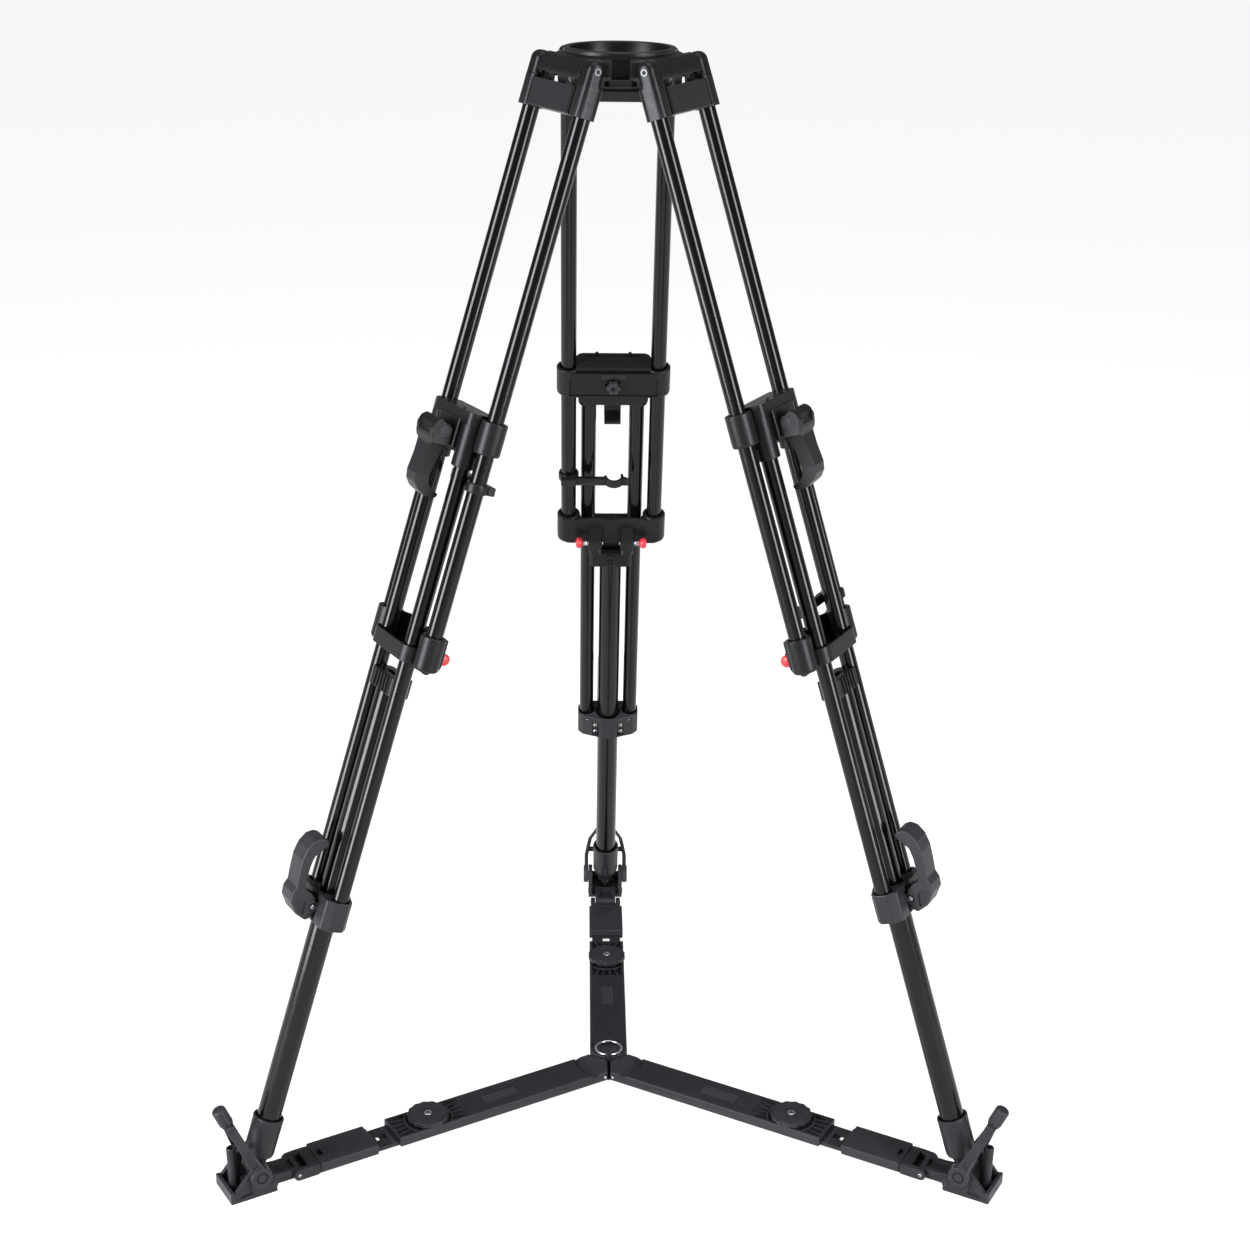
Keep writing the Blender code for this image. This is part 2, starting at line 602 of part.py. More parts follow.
def arm_inner(name, frame, azimuth):
    """The inner stage: a beam pointed at the hub, channelled below, with a ribbed recess round its knob."""
    eye = rod((0.0, RING_EYE_Y, 0.0), (0.0, RING_EYE_Y, 30.0), 4.2, sides=16)
    half = ARM_HALF_WIDTH
    tip = 2.0
    slope = math.tan(math.radians(60))
    outline = [(tip, 0.0), (tip + half / slope, -half), (ARM_INNER_END, -half), (ARM_INNER_END, half)]
    base = prism(outline + [(tip + half / slope, half)], "z", (ARM_BOTTOM, ARM_TOP))
    removed = [
        box((118.0, 300.0), (-19.0, 19.0), (0.0, 9.7)),
        box((192.0, 282.0), (-17.5, 17.5), (11.5, 20.0)),
        box((124.0, 171.0), (-8.0, 8.0), (14.9, 20.0)),
        moved(eye, Matrix.Rotation(-azimuth, 4, "Z")),
    ]
    base = combine(base, removed=removed)
    added = []
    for t in (-12.0, -4.0, 4.0, 12.0):
        added.append(box((191.0, 220.0), (t - 1.3, t + 1.3), (11.0, 14.5)))
        added.append(box((272.0, 283.0), (t - 1.3, t + 1.3), (11.0, 14.5)))
    return piece(name, combine(base, added), "moulded_grey", frame, (0.0, 0.0, ARM_TOP))


def disc_knob(name, frame):
    """A disc on a stud that locks the two stages."""
    solid = rod((ARM_KNOB_R, 0, ARM_TOP + 0.6), (ARM_KNOB_R, 0, ARM_TOP + 6.0), 24.0, sides=32)
    added = [
        rod((ARM_KNOB_R, 0, ARM_TOP + 5.5), (ARM_KNOB_R, 0, ARM_TOP + 7.2), 5.0),
        rod((ARM_KNOB_R, 0, 11.9), (ARM_KNOB_R, 0, ARM_TOP + 1.5), 6.0),
    ]
    return piece(name, combine(solid, added), "moulded_grey", frame, (ARM_KNOB_R, 0.0, ARM_TOP))


def build_arm(name, tripod):
    azimuth = math.radians(LEGS[name][0])
    frame = frame_empty("arm_" + name, Matrix.Rotation(azimuth, 4, "Z"), tripod)
    arm_inner("arm_inner_" + name, frame, azimuth)
    arm_outer("arm_outer_" + name, frame)
    disc_knob("disc_knob_" + name, frame)
    foot_block("foot_block_" + name, frame)
    foot_lever("foot_lever_" + name, frame)


def hub(frame):
    """The plate under the arms' points, with the eye that carries the ring."""
    plate = turned([(0.0, 1.6), (23.0, 1.6), (23.0, 3.6), (0.0, 3.6)], 24)
    post = (0.0, RING_EYE_Y)
    added = [rod((*post, 2.0), (*post, RING_Z + 3.6), 3.6, sides=16)]
    removed = [rod((-6.0, RING_EYE_Y, RING_Z), (6.0, RING_EYE_Y, RING_Z), 2.2, sides=10)]
    return piece("hub", combine(plate, added, removed), "moulded_grey", frame)


def carrying_ring(frame):
    """A wire ring through the hub's eye, lying back over the rear arm."""
    wire = arc((RING_RADIUS, RING_Z), 1.3, 0, 300, 5)
    solid = turned(wire, 28, (0.0, RING_EYE_Y + RING_RADIUS))
    return piece("carrying_ring", solid, "bright_steel", frame, (0.0, RING_EYE_Y, RING_Z))


def main():
    for old in list(bpy.data.objects):
        bpy.data.objects.remove(old)
    tripod = frame_empty("tripod", Matrix.Translation((0.0, CENTRE_LINE_Y * MM, 0.0)))
    crown(tripod)
    for name in LEGS:
        build_leg(name, tripod)
        build_arm(name, tripod)
    hub(tripod)
    carrying_ring(tripod)


main()
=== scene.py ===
"""Looks for the camera tripod: each CAD node is replaced by a finer mesh in the same place, riding on its body.

Shapes are in millimetres in one of three frames, as in the CAD design:
- the tripod frame: X right, Y back, Z up from the floor, on the tripod's centre line;
- a leg frame: X across the leg (t), Y outward from it (n), Z down along it (l);
- an arm frame: X outward along the floor (r), Y across (t), Z up from the floor.
"""

import json
import math

import bmesh
import bpy
from mathutils import Matrix, Vector


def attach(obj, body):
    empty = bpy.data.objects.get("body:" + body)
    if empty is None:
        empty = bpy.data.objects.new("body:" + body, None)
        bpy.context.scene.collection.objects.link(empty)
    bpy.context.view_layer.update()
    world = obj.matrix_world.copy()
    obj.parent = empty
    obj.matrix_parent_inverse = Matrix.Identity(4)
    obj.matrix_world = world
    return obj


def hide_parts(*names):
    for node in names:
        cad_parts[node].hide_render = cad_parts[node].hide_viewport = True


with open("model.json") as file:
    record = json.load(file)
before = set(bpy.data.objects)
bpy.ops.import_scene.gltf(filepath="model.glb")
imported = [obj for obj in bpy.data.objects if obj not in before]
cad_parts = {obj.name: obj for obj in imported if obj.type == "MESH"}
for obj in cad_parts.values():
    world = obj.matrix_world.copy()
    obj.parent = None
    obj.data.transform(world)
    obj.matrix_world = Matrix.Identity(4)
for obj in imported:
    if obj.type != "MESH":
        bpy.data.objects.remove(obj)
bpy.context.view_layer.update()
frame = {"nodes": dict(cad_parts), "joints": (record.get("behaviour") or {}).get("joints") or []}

MM = 0.001
JOINTS = {joint["name"]: joint for joint in frame["joints"]}
LEG_NAMES = ("rear", "left", "right")
SIDES = (("a", -1), ("b", 1))

# Places in the leg frame, as (n, l) or from and to along l, for a middle stage that isn't shifted.
HINGE = (2.6, -82.5)
OUTER_BORE = 9.1
LOWER_CASTING = (500.0, 537.0)
INNER_TUBE_T, INNER_TUBE_N, INNER_TUBE_RADIUS = 27.9, 9.0, 8.75
LOWER_TUBE_N, LOWER_TUBE_RADIUS = 5.3, 13.3
LOWER_TUBE = (0.0, LOWER_TUBE_N)
CLAMP = (273.5, 307.5)
CLAMP_PIVOT = (33.0, 296.0)
BOTTOM = (805.0, 838.0)
LOWER_PIVOT = (31.0, 820.5)
SPRING_PIN = (-25.8, 526.6)
GUIDE_CAP = (558.0, 578.0)
FOOT_CUP = (1073.0, 1119.0)

# Places in the arm frame.
ARM_TOP, ARM_BOTTOM, ARM_HALF_WIDTH = 15.5, 4.0, 22.25
ARM_INNER_END = 285.0
TRAY = (312.0, 381.0)
KNOB_R = 240.0
LINK_PIN = (406.0, 7.5)

BOWL_RADIUS = 50.2
FLOOR_HALF_SIZE = 150.0
SKY_LIGHT, SKY_BACKDROP = 0.22, 1.0


# ---------------------------------------------------------------- frames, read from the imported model


def columns(x, y, z, origin):
    """A matrix from millimetres in a local frame to metres in the row frame."""
    turn = Matrix((x, y, z)).transposed().to_4x4()
    return Matrix.Translation(origin) @ turn @ Matrix.Scale(MM, 4)


def leg_place(name):
    spread = JOINTS["leg_spread_" + name]
    across = -Vector(spread["axis"]).normalized()
    down_leg = Vector(JOINTS["middle_slide_" + name]["axis"]).normalized()
    outward = down_leg.cross(across)
    start = Vector(spread["pos_m"]) - MM * (HINGE[0] * outward + HINGE[1] * down_leg)
    return columns(across, outward, down_leg, start)


def centre_line():
    """The point on the floor under the middle of the bowl."""
    ring = Vector(JOINTS["ring_swing"]["pos_m"])
    return Vector((ring.x, ring.y - 4.0 * MM, 0.0))


def tripod_place():
    return columns((1, 0, 0), (0, 1, 0), (0, 0, 1), centre_line())


def arm_place(name):
    outward = Vector(JOINTS["arm_slide_" + name]["axis"]).normalized()
    up = Vector((0.0, 0.0, 1.0))
    return columns(outward, up.cross(outward), up, centre_line())


def extent(node, place, axis):
    """A node's lowest and highest coordinate along one axis of a local frame, in millimetres."""
    inverse = place.inverted()
    values = [(inverse @ vertex.co)[axis] for vertex in frame["nodes"][node].data.vertices]
    return min(values), max(values)


def joint_place(joint, place):
    """A joint's own point in a local frame."""
    return place.inverted() @ Vector(JOINTS[joint]["pos_m"])


def outer_tube_t(name, place):
    """How far the leg's outer tubes stand from its middle."""
    return 0.5 * sum(extent("outer_tube_b_" + name, place, 0))


def on_side(side, near, far):
    """Two distances from the middle, on side -1 or 1, in rising order."""
    return sorted((side * near, side * far))


# ---------------------------------------------------------------- shapes


def linked(name, data):
    """A new object in the scene."""
    made = bpy.data.objects.new(name, data)
    bpy.context.scene.collection.objects.link(made)
    return made


def shape(points, faces, bevel=0.0, segments=3):
    """A closed helper mesh, its edges rounded by bevel."""
    mesh = bpy.data.meshes.new("shape")
    mesh.from_pydata([Vector(point) for point in points], [], faces)
    work = bmesh.new()
    work.from_mesh(mesh)
    bmesh.ops.recalc_face_normals(work, faces=work.faces)
    if bevel:
        sharp = [edge for edge in work.edges if abs(edge.calc_face_angle(0.0)) > math.radians(28)]
        bmesh.ops.bevel(
            work, geom=sharp, offset=bevel, segments=segments, profile=0.5, affect="EDGES", clamp_overlap=True
        )
    work.to_mesh(mesh)
    work.free()
    return linked("shape", mesh)


def box(x, y, z, bevel=0.0, segments=2):
    points = [(a, b, c) for a in x for b in y for c in z]
    faces = [(0, 1, 3, 2), (4, 6, 7, 5), (0, 4, 5, 1), (2, 3, 7, 6), (0, 2, 6, 4), (1, 5, 7, 3)]
    return shape(points, faces, bevel, segments)


def prism(outline, axis, span, bevel=0.0, segments=2):
    """An outline of (first, second) coordinates across the axis, drawn out over span along it."""
    order = {"x": (2, 0, 1), "y": (0, 2, 1), "z": (0, 1, 2)}[axis]
    points = []
    for along in span:
        for first, second in outline:
            whole = (first, second, along)
            points.append([whole[i] for i in order])
    count = len(outline)
    faces = [tuple(range(count)), tuple(range(count, 2 * count))]
    for i in range(count):
        j = (i + 1) % count
        faces.append((i, j, count + j, count + i))
    return shape(points, faces, bevel, segments)


def arc(centre, radius, start, end, steps):
    """Points on an arc, from start to end in degrees."""
    angles = [math.radians(start + (end - start) * i / steps) for i in range(steps + 1)]
    return [(centre[0] + radius * math.cos(a), centre[1] + radius * math.sin(a)) for a in angles]


def ellipse(centre, half_across, half_high, count):
    turns = [2 * math.pi * i / count for i in range(count)]
    return [(centre[0] + half_across * math.cos(turn), centre[1] + half_high * math.sin(turn)) for turn in turns]


def lobed(centre, radius, depth, lobes, count):
    """A round outline whose edge waves in and out."""
    made = []
    for i in range(count):
        turn = 2 * math.pi * i / count
        reach = radius + depth * math.cos(lobes * turn)
        made.append((centre[0] + reach * math.cos(turn), centre[1] + reach * math.sin(turn)))
    return made


def rounded(outline, radius, steps=5):
    """The outline with each corner rounded, by less where its sides are short."""
    made = []
    count = len(outline)
    for i in range(count):
        before, here, after = (Vector(outline[(i + k) % count]) for k in (-1, 0, 1))
        back, on = before - here, after - here
        if back.length < 1e-6 or on.length < 1e-6:
            continue
        corner = math.pi - back.angle(on)
        if corner < math.radians(8):
            made.append(tuple(here))
            continue
        reach = min(radius * math.tan(corner / 2), 0.48 * back.length, 0.48 * on.length)
        start, end = here + reach * back.normalized(), here + reach * on.normalized()
        for step in range(steps + 1):
            share = step / steps
            made.append(tuple((1 - share) ** 2 * start + 2 * share * (1 - share) * here + share**2 * end))
    return made


def revolve(profile, start, toward, sides=48):
    """A profile of (distance along, radius), turned about the line from start toward a second point."""
    start = Vector(start)
    axis = (Vector(toward) - start).normalized()
    side = axis.orthogonal().normalized()
    up = axis.cross(side)
    points = []
    for along, radius in profile:
        for i in range(sides):
            turn = 2 * math.pi * (i + 0.5) / sides
            points.append(start + along * axis + radius * (math.cos(turn) * side + math.sin(turn) * up))
    rings = len(profile)
    faces = [tuple(range(sides)), tuple(range((rings - 1) * sides, rings * sides))]
    for ring in range(rings - 1):
        for i in range(sides):
            j = (i + 1) % sides
            low, high = ring * sides, (ring + 1) * sides
            faces.append((low + i, low + j, high + j, high + i))
    return shape(points, faces)


def rod(start, end, radius, end_radius=None, edge=0.5, sides=48):
    """A round bar or cone with rounded ends."""
    length = (Vector(end) - Vector(start)).length
    last = radius if end_radius is None else end_radius
    near, far = min(edge, 0.9 * radius), min(edge, 0.9 * last)
    if edge == 0:
        return revolve([(0, radius), (length, last)], start, end, sides)
    profile = [(0, radius - near), (0.3 * near, radius - 0.3 * near), (near, radius)]
    profile += [(length - far, last), (length - 0.3 * far, last - 0.3 * far), (length, last - far)]
    return revolve(profile, start, end, sides)


def bore(at, low, high, radius, end_radius=None, sides=64):
    """A cutter along Z at a point (x, y)."""
    return rod((*at, low), (*at, high), radius, end_radius, edge=0, sides=sides)


def crossbar(at, start, end, radius, edge=0.5, sides=48):
    """A bar or cutter along X at a point (y, z)."""
    return rod((start, *at), (end, *at), radius, edge=edge, sides=sides)


def turned(profile, sides=96, centre=(0.0, 0.0)):
    """A closed profile of (radius, height) turned about a vertical axis."""
    points = []
    for i in range(sides):
        turn = 2 * math.pi * i / sides
        for radius, height in profile:
            points.append((centre[0] + radius * math.cos(turn), centre[1] + radius * math.sin(turn), height))
    count = len(profile)
    faces = []
    for i in range(sides):
        for j in range(count):
            k = (j + 1) % count
            near, far = i * count, (i + 1) % sides * count
            faces.append((near + j, near + k, far + k, far + j))
    return shape(points, faces)


def pipe(x, y, span, radius, wall=1.5, sides=72):
    """A tube along Z with chamfered mouths."""
    inner = radius - wall
    low, high = span
    profile = [(inner, low), (radius - 0.4, low), (radius, low + 0.4), (radius, high - 0.4)]
    profile += [(radius - 0.4, high), (inner, high)]
    return turned(profile, sides, (x, y))


def swept(path, radius, closed=False, sides=12):
    """A round wire along a path of points."""
    path = [Vector(point) for point in path]
    count = len(path)
    points, side = [], None
    for i, centre in enumerate(path):
        if closed:
            along = path[(i + 1) % count] - path[i - 1]
        else:
            along = path[min(i + 1, count - 1)] - path[max(i - 1, 0)]
        along.normalize()
        side = along.orthogonal() if side is None else side - side.dot(along) * along
        side.normalize()
        up = along.cross(side)
        for k in range(sides):
            turn = 2 * math.pi * k / sides
            points.append(centre + radius * (math.cos(turn) * side + math.sin(turn) * up))
    faces = [] if closed else [tuple(range(sides)), tuple(range((count - 1) * sides, count * sides))]
    for i in range(count if closed else count - 1):
        low, high = i * sides, (i + 1) % count * sides
        for k in range(sides):
            j = (k + 1) % sides
            faces.append((low + k, low + j, high + j, high + k))
    return shape(points, faces)


def moved(helper, matrix):
    helper.data.transform(matrix)
    return helper


def evaluated(helper):
    """Applies the helper's modifiers to its mesh."""
    graph = bpy.context.evaluated_depsgraph_get()
    mesh = bpy.data.meshes.new_from_object(helper.evaluated_get(graph))
    helper.modifiers.clear()
    helper.data = mesh
    return helper


def combine(base, added=(), removed=()):
    """Joins the added shapes to the base, takes the removed ones away, and deletes those helpers."""
    for operation, helpers in (("UNION", added), ("DIFFERENCE", removed)):
        for helper in helpers:
            modifier = base.modifiers.new(operation, "BOOLEAN")
            modifier.operation = operation
            modifier.object = helper
            modifier.solver = "MANIFOLD"
    evaluated(base)
    for helper in (*added, *removed):
        bpy.data.objects.remove(helper)
    return base


# ---------------------------------------------------------------- finishes


def new_finish(name, base, roughness, metallic=0.0, specular=0.4):
    """A material with its shader's even values set, and its links left to the caller."""
    made = bpy.data.materials.new(name)
    made.use_nodes = True
    tree = made.node_tree
    shader = tree.nodes["Principled BSDF"]
    shader.inputs["Base Color"].default_value = (*base, 1.0)
    shader.inputs["Roughness"].default_value = roughness
    shader.inputs["Metallic"].default_value = metallic
    shader.inputs["Specular IOR Level"].default_value = specular
    return made, tree, shader


def noise(tree, place, scale, detail):
    made = tree.nodes.new("ShaderNodeTexNoise")
    made.inputs["Scale"].default_value = scale
    made.inputs["Detail"].default_value = detail
    tree.links.new(place.outputs["Object"], made.inputs["Vector"])
    return made


def spread_over(tree, source, low, high):
    """The source's middle range, spread from low to high."""
    made = tree.nodes.new("ShaderNodeMapRange")
    made.inputs["From Min"].default_value = 0.3
    made.inputs["From Max"].default_value = 0.7
    made.inputs["To Min"].default_value = low
    made.inputs["To Max"].default_value = high
    tree.links.new(source, made.inputs["Value"])
    return made.outputs["Result"]


def grained(name, base, roughness, grain, depth, clouds=0.12, edge_highlight=0.35, **shader_values):
    """Paint, plastic or metal: cloudy colour, sharp edges lightened as a painted highlight, uneven gloss and a fine
    bumpy grain.
    """
    made, tree, shader = new_finish(name, base, roughness, **shader_values)
    place = tree.nodes.new("ShaderNodeTexCoord")
    cloud = noise(tree, place, 45.0, 5.0)
    shade = spread_over(tree, cloud.outputs["Fac"], 1.0 - clouds, 1.0 + clouds)
    tint = tree.nodes.new("ShaderNodeMix")
    tint.data_type = "RGBA"
    tint.blend_type = "MULTIPLY"
    tint.inputs["Factor"].default_value = 1.0
    tint.inputs["A"].default_value = (*base, 1.0)
    tree.links.new(shade, tint.inputs["B"])
    # Sharp convex edges, found by pointiness, are mixed toward a lighter copy of the colour: a painted highlight along
    # the edges.
    geometry = tree.nodes.new("ShaderNodeNewGeometry")
    edge = tree.nodes.new("ShaderNodeMapRange")
    edge.inputs["From Min"].default_value = 0.52
    edge.inputs["From Max"].default_value = 0.62
    edge.inputs["To Max"].default_value = edge_highlight
    tree.links.new(geometry.outputs["Pointiness"], edge.inputs["Value"])
    edge_lit = tree.nodes.new("ShaderNodeMix")
    edge_lit.data_type = "RGBA"
    edge_lit.inputs["B"].default_value = (*[min(1.0, 2.6 * value + 0.03) for value in base], 1.0)
    tree.links.new(edge.outputs["Result"], edge_lit.inputs["Factor"])
    tree.links.new(tint.outputs["Result"], edge_lit.inputs["A"])
    tree.links.new(edge_lit.outputs["Result"], shader.inputs["Base Color"])
    gloss = noise(tree, place, 160.0, 3.0)
    tree.links.new(
        spread_over(tree, gloss.outputs["Fac"], 0.88 * roughness, 1.12 * roughness), shader.inputs["Roughness"]
    )
    fine = noise(tree, place, grain, 2.0)
    bump = tree.nodes.new("ShaderNodeBump")
    bump.inputs["Strength"].default_value = depth
    bump.inputs["Distance"].default_value = 0.0002
    tree.links.new(fine.outputs["Fac"], bump.inputs["Height"])
    tree.links.new(bump.outputs["Normal"], shader.inputs["Normal"])
    return made


# Colour, roughness, the grain's scale and depth, and grained()'s other values.
# The edge value sets how strongly each finish lightens its sharp edges, a painted highlight.
FINISH_ROWS = {
    "cast_black": ((0.0028, 0.0028, 0.0034), 0.36, 1500.0, 0.3, {"specular": 0.19}),
    "cast_grey": ((0.0095, 0.0095, 0.011), 0.42, 1500.0, 0.3, {"specular": 0.26}),
    "tube_black": ((0.0009, 0.0009, 0.0011), 0.15, 700.0, 0.004, {"clouds": 0.12, "edge_highlight": 0.05, "specular": 0.26}),
    "moulded_grey": ((0.0125, 0.0125, 0.0145), 0.48, 1900.0, 0.5, {"specular": 0.24}),
    "lever_grey": ((0.0135, 0.0135, 0.015), 0.45, 1600.0, 0.35, {"specular": 0.26}),
    # A flat dark finish for pieces put at the bottom of holes and grooves: painted shade where those hollows fall into
    # shadow.
    "painted_shade_black": ((0.003, 0.003, 0.0032), 0.6, 900.0, 0.2, {"edge_highlight": 0.0, "specular": 0.2}),
    "knob_red": ((0.42, 0.02, 0.026), 0.36, 900.0, 0.08, {"clouds": 0.08, "edge_highlight": 0.1}),
    "bright_steel": ((0.55, 0.55, 0.56), 0.28, 600.0, 0.05, {"clouds": 0.06, "edge_highlight": 0.1, "metallic": 1.0}),
    "bolt_steel": ((0.1, 0.1, 0.105), 0.5, 600.0, 0.08, {"clouds": 0.1, "edge_highlight": 0.15, "metallic": 1.0}),
    "spring_steel": ((0.55, 0.55, 0.56), 0.3, 600.0, 0.05, {"clouds": 0.1, "edge_highlight": 0.1, "metallic": 1.0}),
}
FINISHES = {name: grained(name, *row[:-1], **row[-1]) for name, row in FINISH_ROWS.items()}


def show(name, solid, place, body, finish, nodes=()):
    """Puts a finished helper in the row frame, gives it its material and body, and hides the nodes it stands for."""
    solid.data.transform(place)
    solid.name = name
    solid.data.name = name
    solid.data.materials.clear()
    solid.data.materials.append(FINISHES[finish])
    for polygon in solid.data.polygons:
        polygon.material_index = 0
    solid.data.shade_smooth()
    solid.data.set_sharp_from_angle(angle=math.radians(38))
    weighted = solid.modifiers.new("weighted", "WEIGHTED_NORMAL")
    weighted.keep_sharp = True
    evaluated(solid)
    solid.data.name = name
    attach(solid, body)
    if nodes:
        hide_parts(*nodes)
    return solid


# ---------------------------------------------------------------- crown


def crown():
    place = tripod_place()
    top = extent("crown", place, 2)[1]
    ball = [(math.sqrt(BOWL_RADIUS**2 - drop**2), top - drop) for drop in (0.6, 4, 8, 11)]
    ball += [(math.sqrt(BOWL_RADIUS**2 - drop**2) - 0.9, top - drop) for drop in (11.6, 16, 20, 24, 28, 32, 36)]
    outside = [(47, top - 36), (48.5, top - 36), (53.5, top - 29.5), (60, top - 23.8), (65.5, top - 22.6)]
    outside += [(65.5, top - 9), (64.2, top - 6.4), (58.8, top - 4.2), (57, top - 4), (57, top - 0.9)]
    outside += [(56.1, top), (50.9, top)]
    body = turned(ball[::-1] + outside[::-1], 144)
    shell = [(55, top - 5), (61.5, top - 5.8), (66, top - 9.6), (70.2, top - 18), (71.4, top - 22.6)]
    shell += [(68.9, top - 22.6), (64.6, top - 14), (55, top - 13)]
    shell = rounded(shell, 7, 6)
    cheek = [(54, top - 9.5), (63, top - 12.2), (69.7, top - 25.5), (66, top - 28), (54, top - 28.5)]
    hinge = (61, top - 15.75)
    added, removed = [], []
    for azimuth in (90, 210, 330):
        turn = Matrix.Rotation(math.radians(azimuth), 4, "Z")
        lobe = [prism(shell, "y", (-41.5, 41.5), 1.6, 3)]
        lobe.append(box((64, 66.5), (-35, 35), (top - 36, top - 18.6), 0.3))
        cuts = []
        for side in (-1, 1):
            lobe.append(prism(rounded(cheek, 1.5), "y", on_side(side, 35.8, 41.3), 0.5))
            lobe.append(rod((hinge[0], side * 29, hinge[1]), (hinge[0], side * 40.9, hinge[1]), 6.5, edge=0.4))
            cuts.append(rod((hinge[0], side * 31, hinge[1]), (hinge[0], side * 45, hinge[1]), 4.3, edge=0))
            window = [(side * 9, top - 24.6), (side * 17.5, top - 24.6), (side * 20, top - 35)]
            window = rounded(window + [(side * 7.5, top - 35)], 0.6, 3)
            cuts.append(prism(window, "x", (61, 69)))
            cuts.append(prism(ellipse((side * 29, top - 26.2), 3.2, 1.4, 24), "x", (61, 69)))
        added += [moved(helper, turn) for helper in lobe]
        removed += [moved(helper, turn) for helper in cuts]
        corner = Matrix.Rotation(math.radians(azimuth + 60), 4, "Z")
        removed.append(moved(box((53.5, 80), (-9, 9), (top - 25.8, top - 5.2), 0.4), corner))
        added.append(moved(bail(top), corner))
    show("crown_casting", combine(body, added, removed), place, "crown", "cast_black", ["crown"])
    liner = turned([(45.2, top - 36.4), (49, top - 36.4), (49, top - 35.2), (44.2, top - 35.2)], 96)
    show("crown_throat_ring", liner, place, "crown", "cast_grey")


def bail(top):
    """The bar that stands out in a U under a corner slot."""
    outer = [(59, -14.6), (68, -16), (71.5, -11), (71.5, 11), (68, 16), (59, 14.6)]
    inner = [(59, 9.8), (66, 10.5), (67.5, 8), (67.5, -8), (66, -10.5), (59, -9.8)]
    return prism(rounded(outer + inner, 2.5, 4), "z", (top - 31.4, top - 26.4), 2.2, 4)


# ---------------------------------------------------------------- upper stage


def yoke(name, place):
    tube_t = outer_tube_t(name, place)
    end = extent("yoke_" + name, place, 2)[1]
    band = [(-10.8, -50), (4, -50), (4, -65), (12.5, -65), (12.5, end - 0.6), (-10.8, end - 0.6)]
    base = prism(rounded(band, 1.4), "x", (-43, 43), 0.5)
    finger = arc((HINGE[0], HINGE[1] - 1), 9.5, 180, 360, 28) + [(12.3, -64), (12.7, end + 8)]
    finger += [(-11, end + 8), (-9.6, -62), (-6.9, -74)]
    added, removed = [], [box((-70, 70), (-20, 20), (end, end + 20))]
    for side in (-1, 1):
        added.append(prism(finger, "x", on_side(side, 42.4, 61.7), 6.4, 7))
        column = [(side * 41, -11), (side * 61.9, -11), (side * 61.9, 12.9), (side * 41, 12.9)]
        added.append(prism(rounded(column, 9, 8), "z", (-70, end + 8), 3, 4))
        added.append(crossbar(HINGE, side * 33, side * 50, 4, edge=0.3))
        removed.append(bore((side * tube_t, 0), -58.3, -20, OUTER_BORE))
        removed.append(box(on_side(side, 39.4, 40.6), (11.4, 16), (-70, -30)))
        removed.append(box(on_side(side, 39.4, 40.6), (-16, -9.9), (-70, -30)))
        removed.append(crossbar(HINGE, side * 60.9, side * 66, 4.5, edge=0))
    show("yoke_casting_" + name, combine(base, added, removed), place, "upper_" + name, "cast_black", ["yoke_" + name])
    for letter, side in SIDES:
        start = (side * 60.6, *HINGE)
        profile = [(0, 3.9), (0.8, 3.9), (1.1, 3.6), (1.1, 2.2), (0.2, 1.9), (0.1, 1.4)]
        bolt = revolve(profile, start, (side * 70, *HINGE))
        bolt = combine(bolt, [], [prism(ellipse(HINGE, 1.5, 1.5, 6), "x", on_side(side, 60.7, 64))])
        show("yoke_bolt_%s_%s" % (letter, name), bolt, place, "upper_" + name, "bolt_steel")
        # A dark disc at the bottom of the bolt's hex socket: painted shade in the socket.
        eye = crossbar(HINGE, side * 60.3, side * 60.9, 1.35, edge=0.1, sides=24)
        show("yoke_bolt_socket_%s_%s" % (letter, name), eye, place, "upper_" + name, "painted_shade_black")


def outer_tubes(name, place):
    for letter in ("a", "b"):
        node = "outer_tube_%s_%s" % (letter, name)
        low, high = extent(node, place, 0)
        span = extent(node, place, 2)
        tube = pipe((low + high) / 2, 0, span, (high - low) / 2)
        show("outer_tube_%s_finish_%s" % (letter, name), tube, place, "upper_" + name, "tube_black", [node])


